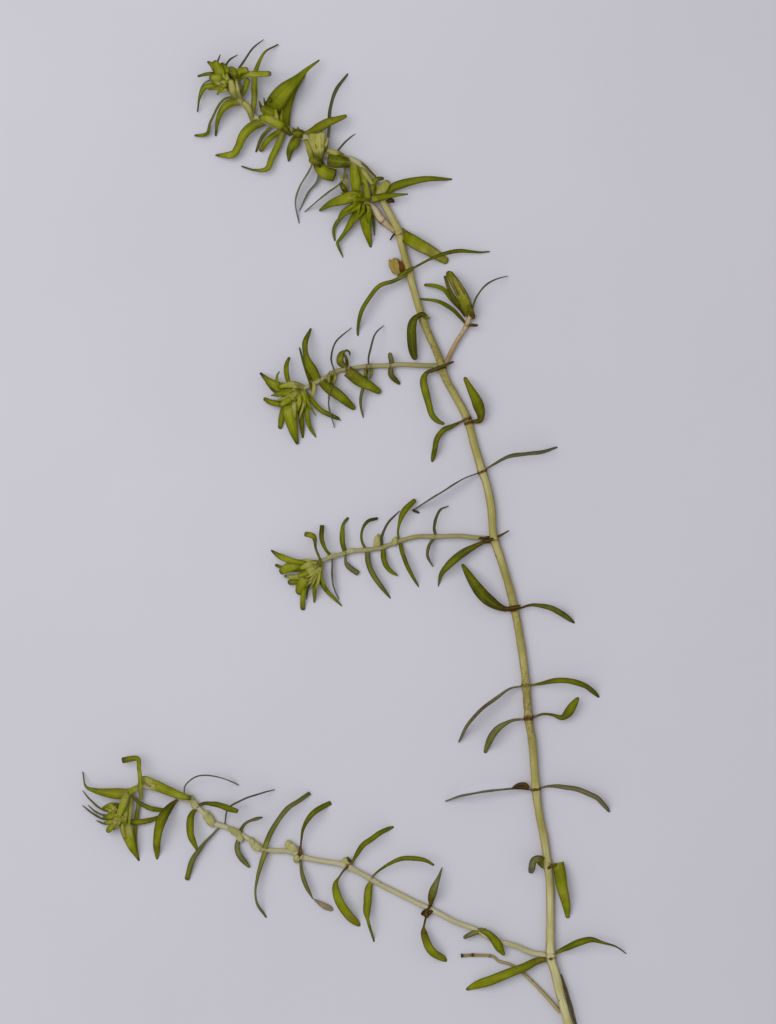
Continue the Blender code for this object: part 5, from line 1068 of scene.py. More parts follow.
middleTipLeaves = [
    blade([(320.5, 573), (322.3, 565), (319.5, 557), (316, 548), (314, 537), (304.5, 533.5)],
        (0.4, 0.5, 0.5, 0.45, 0.6, 0.85, 0.7), (1.4, 1.4, 1.3), tipRound=0.3, roll=(40, 45, 40, 0),
        tone=(1, 0.4, 0.2, 0.4, 1), brown=(0, 0.1, 0.4, 0.4, 0)),
    blade([(319, 572), (320.5, 580), (327, 591), (342, 606.7)], (0.5, 0.7, 0.65, 0.5, 0.15), (0.6, 0.5, 0),
        roll=20, tone=(0.8, 0.4, 0.3)),
    blade([(318, 566), (305, 563), (290, 560), (280, 556), (271, 550)], (0.4, 0.5, 0.85, 0.9, 0.25),
        (1.4, 1.6, 0.8), roll=10, tone=(0.7, 0.7, 1, 0.7, 0), brown=(0, 0, 0, 0, 0.6)),
    blade([(314, 567.5), (304, 565.5), (295, 564.5), (288, 567.5), (280, 573)], (0.7, 1.2, 1.5, 1.4, 0.8),
        (1.2, 0.9), tipRound=0.3, roll=5, tone=(1, 1, 1, 0.7)),
    blade([(312, 568.5), (290, 570), (275, 564.7)], (0.5, 0.6, 0.6, 0.5), (0.5, 0.4), roll=30,
        tone=(0.8, 0.6, 0.2)),
    blade([(315, 570), (303, 575), (295.5, 577), (284, 576)], (0.7, 0.85, 0.8, 0.4), (0.9, 0.4), roll=10,
        tone=(1, 1, 1.1)),
    blade([(315, 571), (300, 580.5), (287.5, 582.5)], (0.6, 0.85, 0.9, 0.8), (0.7, 0.2), roll=10,
        tone=(1, 0.6, 0.2)),
    blade([(315, 571), (306, 578), (300.5, 586), (299, 595)], (0.8, 1.2, 1.25, 1), (1.3, 0.4), roll=5,
        tone=1),
    blade([(316, 571), (306, 583), (303, 596), (302.5, 610.5)], (0.6, 0.8, 0.75, 0.7), (0.8, 0.1), roll=10,
        tone=(1, 0.8, 0.6)),
    blade([(317, 571), (309, 585), (306, 600)], 0.55, (0.2, 0), roll=50, tone=0.1),
    blade([(318, 571), (315, 584), (314, 603)], (0.55, 0.65, 0.65, 0.2), (0.9, 0.1), roll=20,
        tone=(0.7, 0.4, 0.1)),
]
middleTipCover = [
    blade([(324, 560), (316, 564), (309, 571), (304, 578)], (0.6, 0.9, 0.9, 0.4), (1.5, 1.4), dusk=-1,
        tone=(1.5, 1.5, 1)),
    blade([(322, 564), (317, 571), (316, 581)], (0.6, 0.8, 0.3), (1.6, 1.2), tone=(1.5, 1.2, 0.7)),
    blade([(321, 561.5), (310, 564), (299, 569)], (0.6, 0.9, 0.4), (1.6, 1.4), dusk=-1, tone=(1.5, 1.4, 0.9)),
    blade([(314, 569), (307, 573), (298, 576)], (0.6, 0.7, 0.4), (1.6, 1.1), tone=1),
]
middleTipFan = dict(place=(321, 564), bearings=(168, 282), count=20, reach=(12, 32), spread=2.5, width=0.45,
    air=(1.5, 1.3, 0.8), tones=((1.5, 1.5, 1.1), (1.2, 0.9, 0.6), (1.5, 1.3, 0.8), (1, 0.8, 0.4)))
middleTipBud = dict(place=(314, 568.5), length=1.8, breadth=1.3, height=0.4, turn=20)
middleCentre = centreOf(middleBranch, "branch")
pieceMesh("middleBranch", [stemSheet("middleBranch", middleBranch, middleLeaves)], "pale_stem",
          "middle_branch")
pieceMesh("middleBranchTufts", tuftSheets("middleTuft", middleTufts, 0.9), "tuft", "middle_branch")
pieceMesh("middleBranchLeaves", leafSpray("middleBranch", middleLeaves, middleCentre, 0.6), "leaf",
          "middle_branch")
leafyTip("middleTip", middleTipLeaves + middleTipCover + fanLeaves("middleTipFan", middleTipFan),
         middleTipBud, rosetteCentre((316, 567.5)), 0.9, "young_leaf", "middle_tip")
print("middle branch and its tip:", len(middleLeaves) + len(middleTipLeaves), "leaves")

# The upper branch
upperBranch = dict(route=[(436.6, 365.6), (420, 365.3), (400, 364.4), (390, 365.5), (371, 366), (353, 368),
    (337, 371), (326, 377), (318.5, 381), (311, 385), (304, 388.5)], radii=(0.34, 0.32, 0.29),
    air=(0.3, 0.5, 0.2, 0.1, 0.4), into=0.6, onward=1.2, tone=(0.45, 0.45, 0.5, 0.6))
upperLeaves = [
    blade([(391.5, 366), (391, 359), (389.5, 352.5)], (0.6, 0.75, 0.55), (0.9, 0.8), roll=10, dusk=0.85,
        tone=(0.9, 0.6, 0.7), brown=(0.4, 0.35, 0.15)),
    blade([(390.5, 365.5), (391, 374), (395, 379.5), (400, 384)], (0.6, 0.8, 0.75, 0.4), (0.5, 0.1), roll=10,
        tone=(0.2, 0, 0), dusk=(0.8, 0.6), brown=(0.5, 0.45, 0.3)),
    blade([(368.7, 366), (369.3, 355), (375, 335), (384, 325)], 0.7, (0.9, 1, 0.2), roll=68),
    blade([(367.5, 366), (364, 385), (360.5, 402), (363.3, 418)], 0.7, (0.7, 0.6, 0), roll=45),
    blade([(346, 368), (340.5, 362), (341, 355), (345, 351)], (0.5, 1, 0.95, 0.4), (1.2, 1.1), roll=5,
        tone=(1.3, 0.9, 0.7), dusk=0.65),
    blade([(343, 352.5), (346.5, 350.5), (349.5, 352.5), (350, 356.5)], 0.3, (1.2, 0.9), tone=0),
    blade([(347, 366), (346.5, 359), (343, 353)], 0.45, (1.35, 1.2), tone=0.1),
    blade([(347, 371.5), (357, 378.5), (370, 386.5), (381, 392.5)], (1.6, 1.75, 1.35, 0.7), (0.95, 1, 0.3),
        rise=1.3, tone=(0.7, 0.9, 0.9), brown=(0.6, 0.25, 0, 0)),
    blade([(331, 371), (328.5, 378), (330, 385)], 0.5, (1, 0.7), tone=1.5),
    blade([(335.5, 371), (335, 379), (332, 385.5)], 0.5, (1, 0.7), tone=(1.4, 1.2)),
    blade([(366.5, 366), (365, 373), (368, 379)], 0.45, (1, 0.7), tone=1.3, brown=(0.5, 0.2)),
    blade([(370.5, 366), (371.5, 373), (369.5, 379.5)], 0.5, (1, 0.7), tone=1.3, brown=(0.6, 0.3)),
    blade([(334.5, 371.6), (331.3, 358), (336, 342), (351.6, 327.3)], 0.65, (0.9, 0.9, 0.2), roll=70),
    blade([(333, 372), (331, 387), (328.7, 405), (334.3, 427.6)], 0.65, (0.8, 0.9, 0.1), roll=(35, 68, 68)),
    blade([(319, 379), (330, 389), (344, 399.6), (355, 409)], (0.9, 1.45, 1.5, 1.2, 0.6), (0.9, 1.1, 0.2),
        tone=(0.3, 0.6, 0.75), brown=(0.5, 0.1, 0, 0, 0)),
    blade([(318, 383), (312.5, 372), (307, 358), (305.3, 343), (311, 328)], (1.3, 1.55, 0.8, 0.8, 0.3),
        (1.3, 1.4, 0.5), tone=(1, 1, 0.4, 0.4, 0.2)),
    blade([(312.5, 392), (309, 379), (304, 363), (299, 347)], (0.4, 0.5, 0.5, 0.2), (1.1, 0.9, 0.1), roll=30,
        tone=(0.3, 0.2, 0)),
]
upperTipLeaves = [
    blade([(298, 388.5), (304, 391.5), (311, 399.5), (321, 410), (330, 415), (339.5, 419)],
        (0.6, 0.7, 0.75, 0.75, 0.7, 0.45), (0.9, 0.7, 0), roll=15, tone=(0.6, 0.4, 0.3),
        brown=(0.1, 0, 0.1, 0.3)),
    blade([(334, 416.5), (341, 420.5)], 0.25, (0.15, 0.1), tone=0),
    blade([(299, 396), (306, 403), (307, 416), (310, 427), (316, 437.5)], 0.8, (0.9, 0.6, 0), roll=15,
        tone=(0.8, 0.6, 0.4)),
    blade([(297, 396), (291, 388), (287.5, 378), (286.7, 366), (289.5, 357)], (0.4, 0.5, 0.72, 0.7, 0.4),
        (1.2, 1.3, 0.7), roll=15, tone=(0.4, 0.5, 0.2)),
    blade([(290, 392), (279, 387), (277.4, 377), (280, 371.5)], 0.55, (1.6, 1.4), roll=30,
        tone=(0.9, 0.6, 0.5)),
    blade([(292, 393), (283, 389), (271, 382.5), (259.7, 372.5)], (1.3, 1.35, 1.25, 0.8, 0.25),
        (1.3, 1.2, 0.4), roll=10, tone=(1.2, 1, 0.6, 0), brown=(0, 0, 0, 0.2, 1)),
    blade([(289, 395), (276, 392.5), (265.3, 382)], 0.6, (0.5, 0.1), roll=45, tone=(0.9, 0.3)),
    blade([(290, 398), (283, 404), (272, 402.5), (263.4, 398)], (0.8, 0.9, 0.85, 0.5), (0.8, 0.3), roll=10,
        tone=(1, 0.9, 0.3)),
    blade([(291, 398), (283, 410), (279.7, 429)], (0.7, 0.8, 0.85, 0.6), (0.4, 0), roll=10,
        tone=(0.9, 0.6, 0.5)),
    blade([(290, 396), (290, 410), (291, 420), (293.5, 430), (297.5, 444.4)], (1.5, 2, 1.8, 1.25, 0.4),
        (1.3, 1, 0.2), tone=(1.2, 1, 0.8, 0.6, 0.3)),
    blade([(296, 398), (300.7, 414.5), (302.6, 438)], (0.6, 0.8, 0.75, 0.3), (0.4, 0), roll=15,
        tone=(0.7, 0.5, 0.4)),
]
upperTipCover = [
    blade([(306, 388), (296, 385.5), (287, 385.5), (278, 388)], (0.7, 1, 0.9, 0.4), (1.7, 1.5),
        tone=(1.5, 1.5, 1.3, 1)),
    blade([(303, 391), (294, 391), (285, 393), (276, 396.5)], (0.7, 1, 0.9, 0.4), (1.5, 1.3),
        tone=(1.5, 1.4, 1.2, 0.9)),
    blade([(299, 394), (289, 400), (280, 406.5)], (0.7, 0.9, 0.6), (1.6, 1.2), tone=(1.3, 1, 1)),
    blade([(292, 391), (281, 388.5), (269.5, 387)], 0.7, (0.9, 0.5), tone=(1.3, 0.8, 0.4)),
    blade([(292, 394), (282, 394.5), (273, 391.5)], 0.7, (1, 0.6), tone=(1.3, 0.8, 0.5)),
    blade([(298, 395), (294.5, 405), (295.5, 420)], (0.6, 0.7, 0.25), (1.8, 1.4), tone=(1.5, 1.3, 1)),
    blade([(300, 392), (303.5, 400), (304, 413)], (0.7, 0.9, 0.4), (1.3, 0.8), tone=(1.4, 1, 0.7)),
    blade([(313, 380), (314, 388), (311.5, 397), (307, 401)], (0.4, 0.6, 0.55, 0.25), (0.9, 0.8),
        tone=(1.5, 1.4, 0.9)),
]
upperTipFan = dict(place=(302, 389), bearings=(172, 295), count=24, reach=(14, 34), spread=3, width=0.5,
    air=(1.6, 1.5, 1), tones=((1.5, 1.5, 1.2), (1.2, 1, 0.7), (1.5, 1.4, 1), (1, 0.8, 0.5)))
upperTipBud = dict(place=(291, 396), length=1.9, breadth=1.4, height=0.4, turn=20)
upperCentre = centreOf(upperBranch, "branch")
pieceMesh("upperBranch", [stemSheet("upperBranch", upperBranch, upperLeaves)], "pale_stem", "upper_branch")
pieceMesh("upperBranchLeaves", leafSpray("upperBranch", upperLeaves, upperCentre, 0.65), "leaf",
          "upper_branch")
leafyTip("upperTip", upperTipLeaves + upperTipCover + fanLeaves("upperTipFan", upperTipFan), upperTipBud,
         rosetteCentre((293.5, 394)), 0.9, "young_leaf", "upper_tip")
print("upper branch and its tip:", len(upperLeaves) + len(upperTipLeaves), "leaves")

# The two short side shoots and the broken one
rightShoot = dict(route=[(447.5, 360), (451, 352), (457.5, 340), (464, 330), (468, 322), (470.5, 313)],
    radii=(0.32, 0.3, 0.34), air=(0.35, 0.5, 0.6), into=0.7, onward=0.3, tone=(0.4, 0.6, 0.9),
    rings={(467, 325.5): 0.5, (471, 315): 0.9})
rightLeaves = [
    blade([(467, 325), (460, 317), (450, 308), (436, 301.5), (420, 299)], (0.4, 0.6, 0.7, 0.55, 0.35),
        (1.2, 1.4, 0.9), roll=25, tone=(0.1, 0.1, 0.3, 0.3), brown=(0.6, 0.3, 0.2, 0.2)),
    blade([(467, 325), (472, 325.5), (478, 325.5)], (0.4, 0.45, 0.35), (1, 0.9), roll=10, tone=0,
        brown=(0.5, 0.9, 0.8)),
    blade([(466, 316), (456, 302), (449, 290), (444.5, 276)], (0.6, 0.7, 0.6, 0.4), (1.3, 1.4, 1.2),
        tone=(0.2, 0, 0), brown=(0.7, 0.5, 0.4)),
    blade([(472, 319), (465, 303), (457, 288), (447.5, 271.5)], (1, 1.6, 1.55, 1.35, 0.8), (1.3, 1.5, 1),
        fold=3, tone=(0.8, 1.3, 1.5, 1), brown=(0.6, 0.4, 0.36, 0.4, 0.5)),
    blade([(462, 304), (457, 293), (451, 281)], 0.14, (1.85, 1.6), tone=0.3, brown=0.5),
    blade([(468, 303), (463, 293), (456, 281)], 0.14, (1.8, 1.6), tone=0.3, brown=0.4),
    blade([(474, 317), (468, 300), (460, 285), (450.5, 272)], (0.5, 0.55, 0.5, 0.4), (1.2, 1.3, 1),
        tone=(0.2, 0, 0.1), brown=(0.7, 0.4, 0.5)),
    blade([(473.5, 319), (471, 312), (468, 305)], (0.5, 0.65, 0.2), (1.5, 1.5), tone=0.6,
        brown=(0.7, 0.55, 0.3)),
    blade([(466, 316), (452, 300), (444, 290), (434, 285.5), (424, 284.5)], (0.3, 0.5, 0.75, 0.7, 0.5),
        (0.7, 0.8, 0.3), roll=30, tone=(0.2, 0.3, 0.6, 0.5)),
    blade([(471, 315), (475, 300), (484, 287), (496, 279.5), (508, 275.5)], 0.6, (1, 1.2, 0.2), roll=66,
        tone=(0.2, 0.1)),
]
rightBud = dict(place=(470.5, 316), length=1.1, breadth=0.8, height=0.6, turn=80, leaflets=7, tone=0.1,
    brown=(0.7, 0.6, 0.6))
pieceMesh("rightShootStem", [stemSheet("rightShoot", rightShoot, [])], "shoot", "right_shoot")
leafyTip("rightShoot", rightLeaves, rightBud, centreOf(rightShoot, "shoot"), 0.75, "bright_leaf",
         "right_shoot")

sideShoot = dict(route=[(391.2, 228.5), (385.5, 223.5), (379.5, 217.5), (375.5, 211), (369, 205.5),
    (360, 203)], radii=(0.36, 0.5, 0.56, 0.4), air=(0.35, 0.6, 0.6), into=0.6, onward=0.3, tone=(0.6, 1, 1),
    rings={(384.7, 219): 0.5})
sideLeaves = [
    blade([(371, 198.5), (356, 198), (343, 200.5), (330, 204.5), (319, 210.5)], (1.1, 1.75, 1.6, 1, 0.3),
        (1.5, 1.4, 0.3), tone=(1, 1, 0.9, 0.6, 0.2)),
    blade([(362, 203), (364.5, 218), (367.5, 232), (370.8, 247)], (1.4, 1.65, 1.2, 0.3), (1, 0.8, 0),
        tone=(1, 0.8, 0.9, 0.4)),
    blade([(366, 205.5), (355, 208), (345, 213), (339, 221)], (1, 1.35, 1.1, 0.6), (1.3, 1.2),
        tone=(1, 0.8, 0.5, 0.2)),
    blade([(356, 212), (349, 226), (340, 239), (337.6, 244), (343, 257)], (0.8, 1, 0.65, 0.5, 0.15),
        (0.6, 0.5, 0), roll=(15, 25, 40), tone=(0.9, 0.6, 0.1, 0)),
    blade([(344, 214), (336.5, 223), (333.5, 231), (334.8, 240.5)], (0.5, 0.6, 0.45, 0.25), (0.4, 0), roll=10,
        tone=(0.6, 0.1, 0)),
    blade([(372, 208), (373.5, 222), (374.5, 235)], 0.5, (0.3, 0), roll=40, tone=(0.5, 0)),
]
sideCover = [
    blade([(371, 203), (369, 214), (370, 228)], (0.7, 0.9, 0.4), (1.4, 0.9), tone=(0.8, 0.5, 0.3)),
    blade([(363, 205), (358, 216), (353, 224)], (0.6, 0.8, 0.3), (1.4, 1), tone=(1, 0.8, 0.4)),
]
sideFan = dict(place=(364, 201), bearings=(155, 300), count=16, reach=(10, 26), spread=3, width=0.45,
    air=(1.75, 1.4), tones=((1, 1, 0.8), (0.8, 0.6, 0.4), (1.5, 1.2, 0.9)))
sideBud = dict(place=(361, 202), length=1.3, breadth=1, height=0.6, turn=10)
pieceMesh("sideShootStem", [stemSheet("sideShoot", sideShoot, [])], "shoot", "side_shoot")
leafyTip("sideShoot", sideLeaves + sideCover + fanLeaves("sideFan", sideFan), sideBud,
         centreOf(sideShoot, "shoot"), 0.85, "bright_leaf", "side_shoot")

brokenShoot = dict(route=[(557.2, 1009.3), (547, 997.5), (534, 984), (523, 974), (511, 965.5), (499, 962),
    (492, 957), (474, 956), (461, 956.6)], radii=(0.27, 0.25, 0.2, 0.22), air=(0.4, 0.1, 0, 0), into=0.6,
    tone=(0.9, 0.9, 0.85, 0.75, 0.6), brown=(0, 0, 0, 0, 0.15),
    rings={(473, 957): 0.7, (461.5, 956.6): 0.9, (490, 956.8): 0.6})
pieceMesh("brokenShoot", [stemSheet("brokenShoot", brokenShoot, [])], "dead_stem", "broken_shoot")
print("shoots:", 3)

# The crowded top of the plant
growingTip = dict(route=[(378.2, 188), (371, 177), (355, 161), (335, 156), (319, 152), (313, 142), (302, 136),
    (287, 129), (274, 124.6), (261, 119), (253.5, 116), (246, 106), (240.4, 100), (232, 93), (226, 84),
    (218, 75)], radii=(0.5, 0.46, 0.5, 0.46, 0.42, 0.34), air=(0.1, 0.25, 0.4, 0.3, 0.5, 0.7), into=0.4,
    tone=(0.7, 0.8, 0.9, 0.8, 0.9))
growingTipLeaves = [
    blade([(373.5, 197), (372.5, 187), (376, 180.5), (384, 178.5)], (0.5, 0.65, 0.7, 0.45), (1.1, 1.2, 0.9),
        tone=(0.8, 0.6, 0.3, 0), brown=(0, 0, 0, 0.7)),
    blade([(354, 162), (341, 163), (327.5, 161.5)], (1.2, 1.8, 1.7), (1.5, 1.6), tipRound=0.1,
        tone=(0.3, 0.1, 0.2)),
    blade([(354, 161), (354.5, 175), (356, 187), (357, 197)], (0.9, 1.35, 1.4, 1), (1.3, 1.5, 1),
        tone=(0.7, 0.9, 0.8)),
    blade([(316, 160), (319, 167), (325.5, 173), (335.5, 176.5)], (1, 1.7, 1.9, 1.8), (1.1, 0.7),
        tipRound=0.1, tone=(0.5, 0.9, 0.8, 0.3)),
    blade([(335, 156), (340, 149), (349.7, 139.6), (356, 135)], 0.6, (1.4, 1.6), roll=68, tone=(0.3, 0)),
    blade([(316, 150), (311, 168), (300, 187), (295.5, 203), (299, 223)], 0.7, (0.8, 0.6, 0), roll=65,
        tone=(0.5, 0.1, 0)),
    blade([(318.5, 152), (318, 178), (308, 192), (299.3, 210)], 0.65, (0.3, 0.1, 0), roll=65,
        tone=(0.3, 0.1, 0)),
    blade([(345, 159), (343, 180), (327, 194), (304, 211.5)], 0.7, (0.8, 1, 0.1), roll=62,
        tone=(0.5, 0.2, 0)),
    blade([(299, 134), (295, 142), (290, 151), (288.3, 161)], (0.8, 1.5, 1, 0.2), (0.9, 0.2),
        tone=(0.4, 0.3, 0.1), brown=(0.1, 0.1, 0.3)),
    blade([(281, 130), (270, 138.5), (259.5, 151)], (0.6, 0.9, 0.85, 0.5), (0.9, 0.3), tone=(0.6, 0.5)),
    blade([(284, 127), (278, 145), (272, 158), (267, 169), (255, 170), (241, 165.7)],
        (0.8, 0.95, 0.95, 0.8, 0.35, 0.2), (0.6, 0.8, 0.3), tone=(0.8, 0.6, 0.6, 0.3, 0)),
    blade([(268, 119), (254, 126), (244, 136), (238, 148), (232, 154.5), (215, 154.8)],
        (1.1, 1.35, 1.35, 1.1, 1, 0.25), (1.2, 0.9, 0.3), tone=(0.8, 0.5, 0.6, 0.6, 1.3, 1)),
    blade([(273, 124), (262, 136), (255.4, 151.5)], (0.4, 0.5, 0.5, 0.3), (0.2, 0), roll=20,
        tone=(0.6, 0.2, 0), brown=(0, 0.1, 0.6)),
    blade([(252, 117), (254.5, 100), (254.5, 85), (257, 70), (265, 53), (278, 43.3)],
        (0.6, 0.85, 0.85, 0.6, 0.35, 0.2), (1.2, 1.5, 1.2, 0.2), tone=(1, 0.4, 0.5, 0.3, 0)),
    blade([(243, 101), (230, 104.5), (221, 113), (217, 124), (215.2, 135.5)], (0.8, 1.2, 0.9, 0.55, 0.25),
        (1.3, 0.9, 0.1), tone=(1.2, 0.7, 0.5, 0.2, 0)),
    blade([(236, 96), (223, 101), (211, 121), (207, 133.5), (194, 135)], (0.4, 0.5, 0.5, 0.5, 0.65, 0.3),
        (1, 0.5, 0.2), roll=(40, 40, 40, 10), tone=(0.5, 0.1, 0, 0, 1)),
    blade([(229, 88), (243, 77), (258, 76), (272, 75.5)], (0.6, 0.8, 0.9, 0.75), (1.5, 1.8), roll=5,
        tone=(1, 0.8, 1.1, 1.1)),
    blade([(228, 86), (240.5, 68), (254, 48), (263.6, 38.8)], 0.6, (1.3, 1.2, 0.3), roll=65, tone=(0.4, 0)),
    blade([(238, 99), (242, 88), (233, 78)], 0.6, (1.8, 1.9), roll=60, tone=0.2),
    blade([(222, 75), (209, 75.5), (198, 77.8)], (0.7, 0.6, 0.35), (1.6, 1.5), roll=10, tone=(1, 0.4, 0),
        brown=(0, 0, 0.5)),
    blade([(226, 84), (214, 87), (205, 88.5), (200, 98), (197.2, 111.5)], (0.9, 1, 0.7, 0.35, 0.2),
        (1.4, 1.2, 0.3), tone=(1, 0.9, 0.4, 0)),
    blade([(219, 78), (204, 84), (198, 98)], 0.55, (0.7, 0.5), roll=60, tone=(0.6, 0)),
    blade([(219, 76), (218, 66), (221, 55.5)], 0.55, (1.7, 1.4), roll=60, tone=(0.6, 0)),
    blade([(221, 77), (229, 62), (238, 55)], 0.55, (1.2, 0.9), roll=65, tone=(0.5, 0)),
    blade([(220, 76), (214, 68), (208, 63)], (0.9, 0.9, 0.3), (1.9, 1.7), tone=(1, 1, 0.2)),
]
growingTipCover = [
    blade([(228, 86), (221, 75), (215, 62.5)], (1.1, 1.6, 0.8), (1.9, 1.9), tone=(1, 1, 0.8)),
    blade([(229, 84), (219, 80), (210, 79)], (0.9, 1.2, 0.5), (2, 1.8), tone=1),
    blade([(230, 82), (226.5, 72), (222, 64.5)], (0.8, 1, 0.5), (1.8, 1.7), tone=(1, 0.8, 0.2)),
    blade([(234, 84), (235, 74), (229, 69.5)], (0.6, 0.9, 0.7), (2, 1.7), tone=(0.8, 0.4, 0.1)),
    blade([(237, 84), (240, 74), (249, 71)], (0.6, 0.95, 0.9), (1.9, 1.7), tone=(1, 0.6, 1)),
    blade([(241, 97), (246, 88), (248, 79)], (0.5, 0.8, 0.8), (1.3, 1.3), tone=(1.1, 0.7, 0.5)),
    blade([(240, 101), (234, 93), (231, 81)], (1, 1.1, 0.7), (1.9, 1.9), tone=(1.3, 1.5, 1.3),
        brown=(0.2, 0.05, 0)),
    blade([(243, 103), (238.5, 92), (237, 80)], (0.5, 0.5, 0.25), (2.1, 2), tone=1.5),
    blade([(253, 122), (249.5, 111), (243, 102)], (0.7, 0.8, 0.8), (1.5, 1.6), tone=(1.2, 1.5, 1.4)),
    blade([(282, 124), (272, 116), (261, 109)], (0.8, 1.7, 0.8), (1.6, 1.9), tone=(0.7, 0.6, 0.3)),
    blade([(291, 133), (281, 127), (270, 121.5), (259, 118)], (0.9, 1.3, 1.3, 0.7), (1.8, 1.9, 1.6),
        tone=(0.6, 1, 1, 0.7)),
    blade([(281, 128), (277, 119), (276, 110)], (0.5, 0.6, 0.3), (2.1, 2), tone=(1, 1.2, 1)),
    blade([(285, 130), (282, 121), (283, 111)], (0.4, 0.45, 0.2), (2.1, 2), tone=(0.6, 0.3)),
    blade([(262, 109), (259.3, 102.5)], (0.5, 0.15), (1.9, 1.8), tone=(0.4, 0), brown=(0, 0.8)),
    blade([(266, 107), (264.3, 99.5)], (0.5, 0.15), (2, 1.9), tone=(0.4, 0), brown=(0, 0.8)),
    blade([(271, 106), (270.5, 99)], (0.5, 0.2), (2, 2), tone=(0.4, 0), brown=(0, 0.8)),
    blade([(280, 126), (286, 130.5), (291.5, 137)], (0.7, 0.9, 0.4), (1.9, 1.3), tone=0.1, brown=(0.1, 0.3)),
    blade([(306, 135), (299, 134), (292, 133.5)], (1, 1.3, 0.9), (1.2, 1.2), tone=(0.7, 0.4, 0.3)),
    blade([(296, 134), (293, 128.5)], (0.6, 0.15), (1.5, 1.5), tone=(0.4, 0), brown=(0, 0.6)),
    blade([(300, 134), (298, 128)], (0.6, 0.15), (1.5, 1.5), tone=(0.4, 0), brown=(0, 0.6)),
    blade([(319.5, 161), (318, 147), (316.5, 133)], (0.8, 2, 2.6), (1.6, 1.65, 1.3), dusk=-1, fold=1,
        tipRound=0.2, tone=(1.1, 1.4, 1.5), brown=(0.3, 0.05, 0)),
    blade([(315, 156), (312, 146), (309.5, 137)], (0.3, 0.4, 0.3), (1.75, 1.6), tone=(0.8, 1, 1.2)),
    blade([(323, 154), (326, 146), (328.5, 138)], (0.4, 0.5, 0.3), (1.7, 1.5), tone=(1, 1.2, 1.3)),
    blade([(314, 164), (309.5, 152), (306, 140)], (0.7, 0.8, 0.5), (1.2, 1.3), dusk=-1, tone=(0.8, 1.4, 1.2)),
    blade([(317.5, 158), (316.5, 149), (314.5, 140)], 0.14, (1.85, 1.8), tone=0.6, brown=0.4),
    blade([(321, 157), (322, 148), (322.5, 140)], 0.13, (1.85, 1.8), tone=0.8, brown=0.3),
    blade([(326, 168), (317, 163), (309, 160.5)], (0.6, 1.2, 0.7), (1.7, 1.5), tone=(0.2, 0, 0.4),
        brown=(0.1, 0.45, 0.2)),
    blade([(346, 157), (336, 154), (326, 151)], (0.5, 0.9, 0.4), (1.4, 1.4), tone=(0.8, 1.4, 1.3)),
    blade([(357, 163), (362, 176), (366, 190), (368, 201)], (0.6, 1, 1, 0.8), (1.1, 1.2, 1),
        tone=(0.9, 0.8, 1.1, 0.9)),
    blade([(360, 161), (368, 170), (376, 178)], (0.3, 0.35, 0.25), (1.8, 1.5), tone=0, brown=0.3),
    blade([(358, 165), (366, 176), (373, 186)], (0.5, 0.65, 0.4), (1.5, 1.2), tone=1.5),
    blade([(363, 178), (363, 188), (362, 197)], (0.25, 0.3, 0.2), (1.7, 1.7), tone=0.1),
    blade([(374, 197), (382, 189), (389, 181)], (0.9, 1.4, 0.9), (0.7, 0.6), dusk=-1, tone=(1.1, 1.5, 1.4)),
    blade([(339, 172), (343, 181), (349.5, 190)], 0.35, (1.1, 0.9), tone=1.5),
    blade([(347, 174), (347, 182), (350, 188)], 0.3, (1.3, 1.1), tone=1.4),
    blade([(348, 194), (343, 188), (340.5, 182)], (0.7, 0.8, 0.4), (1.2, 0.9), tone=(0.4, 0.1, 0)),
]
topLeaves = {
    "top_leaf_1": blade([(326.5, 149.5), (329, 129), (330, 111), (335.5, 92), (348, 72.5)], 0.85,
        (0.8, 1.2, 0), roll=58, tone=0.35, brown=(0.1, 0, 0.1, 0.4)),
    "top_leaf_2": blade([(306, 132.5), (317, 129.5), (329, 123.5), (340, 119.3), (347, 116.5)],
        (0.5, 1.3, 1.3, 0.9, 0.5), (1.2, 1.5, 1.2), tone=0.85, brown=(0, 0, 0.1)),
    "top_leaf_3": blade([(286, 130), (284.5, 118), (287, 103), (293.5, 87), (304.5, 72)],
        (1.2, 1.6, 1.75, 1.35, 0.5), (0.7, 0.6, 0.1), tone=(0.9, 1, 0.9, 0.8), brown=(0, 0, 0.1)),
    "top_leaf_4": blade([(269, 119), (273, 108), (281.5, 96.5), (296, 83), (307, 71), (319.6, 60.4)],
        (2, 2.65, 2.3, 1.35, 0.6, 0.25), (1.5, 1.9, 1.6, 1), tone=0.6, brown=(0, 0, 0, 0.1, 0.3)),
}
growingTipFan = dict(place=(231, 88), bearings=(95, 215), count=20, reach=(9, 24), spread=3, width=0.5,
    air=(1.9, 1.8), tones=((1.5, 1.4, 1), (1.2, 1, 0.6), (1.5, 1.2, 0.9), (0.9, 0.6, 0.3)))
growingTipBud = dict(place=(218.5, 76), length=1.9, breadth=1.3, height=0.4, turn=40)
growingCentre = centreOf(growingTip, "branch")
pieceMesh("growingTipStem", [stemSheet("growingTip", growingTip, [])], "pale_stem", "growing_tip")
leafyTip("growingTip", growingTipLeaves + growingTipCover + fanLeaves("growingTipFan", growingTipFan),
         growingTipBud, growingCentre, 0.8, "young_leaf", "growing_tip")
singleLeaves(topLeaves, growingCentre)
print("growing tip:", len(growingTipLeaves) + len(topLeaves), "leaves")

# Soft light from a wide panel and a pale sky, over a plain pale floor
studio = {
    "floor": tint(190, 188, 194), "floorSize": 0.9, "floorRough": 0.6, "floorDarker": 0.95,
    "floorCloud": {"size": 60.0, "low": 0.2, "high": 0.8}, "panelSize": 0.5, "panelHeight": 0.5,
    "panelPlace": (-0.22, 0.1), "panelPower": 2.0, "sky": (0.92, 0.93, 1.0), "skyStrength": 0.6,
    "lens": 100, "sensor": 36, "clip": (0.01, 5.0), "plantHeight": 0.001,
}


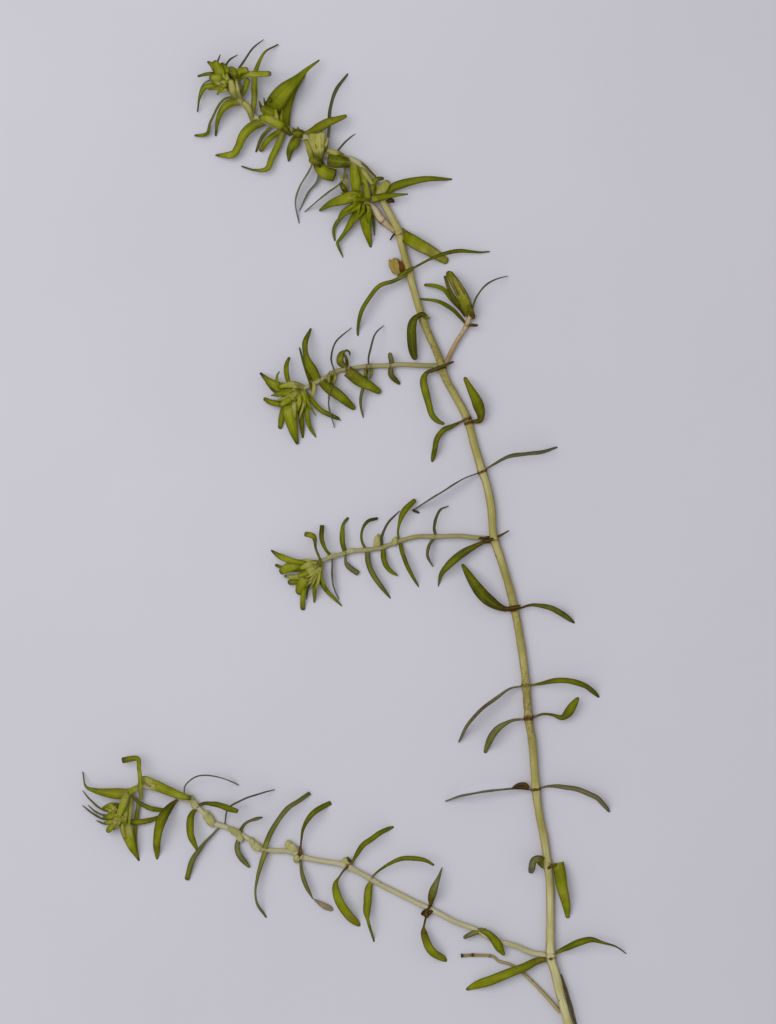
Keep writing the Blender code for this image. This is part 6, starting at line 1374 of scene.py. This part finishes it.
def makeFloor():
    half = studio["floorSize"] / 2
    mesh = bpy.data.meshes.new("floor")
    corners = [(-half, -half, 0), (half, -half, 0), (half, half, 0), (-half, half, 0)]
    mesh.from_pydata(corners, [], [(0, 1, 2, 3)])
    material = bpy.data.materials.new("paleFloor")
    material.use_nodes = True
    tree = material.node_tree
    shader = tree.nodes["Principled BSDF"]
    cloud = effect(tree, "mottle", **studio["floorCloud"])
    shade = tuple(channel * studio["floorDarker"] for channel in studio["floor"][:3]) + (1.0,)
    tree.links.new(blendColour(tree, cloud, studio["floor"], shade), shader.inputs["Base Color"])
    shader.inputs["Roughness"].default_value = studio["floorRough"]
    mesh.materials.append(material)
    floor = bpy.data.objects.new("floor", mesh)
    bpy.context.scene.collection.objects.link(floor)


def makeLight():
    panel = bpy.data.lights.new("panel", "AREA")
    panel.shape = "DISK"
    panel.size = studio["panelSize"]
    panel.energy = studio["panelPower"]
    light = bpy.data.objects.new("panel", panel)
    light.location = (*studio["panelPlace"], studio["panelHeight"])
    towards = -np.array(light.location)
    light.rotation_euler = Vector(towards).to_track_quat("-Z", "Y").to_euler()
    bpy.context.scene.collection.objects.link(light)
    world = bpy.data.worlds.new("paleSky")
    world.use_nodes = True
    background = world.node_tree.nodes["Background"]
    background.inputs["Color"].default_value = (*studio["sky"], 1.0)
    background.inputs["Strength"].default_value = studio["skyStrength"]
    bpy.context.scene.world = world


def makeCamera():
    # Straight down over the middle of the picture, as far off as its height needs
    centre = inMm((photo["width"] / 2, photo["height"] / 2)) * mm
    tall = photo["height"] / photo["pixelsPerMm"] * mm
    lens = bpy.data.cameras.new("camera")
    lens.lens, lens.sensor_width, lens.sensor_fit = studio["lens"], studio["sensor"], "AUTO"
    lens.clip_start, lens.clip_end = studio["clip"]
    camera = bpy.data.objects.new("camera", lens)
    camera.location = (*centre, studio["plantHeight"] + tall / 2 / (studio["sensor"] / 2 / studio["lens"]))
    bpy.context.scene.collection.objects.link(camera)
    bpy.context.scene.camera = camera


makeFloor()
makeLight()
makeCamera()
bpy.context.scene.view_settings.view_transform = "Standard"
bpy.context.view_layer.update()
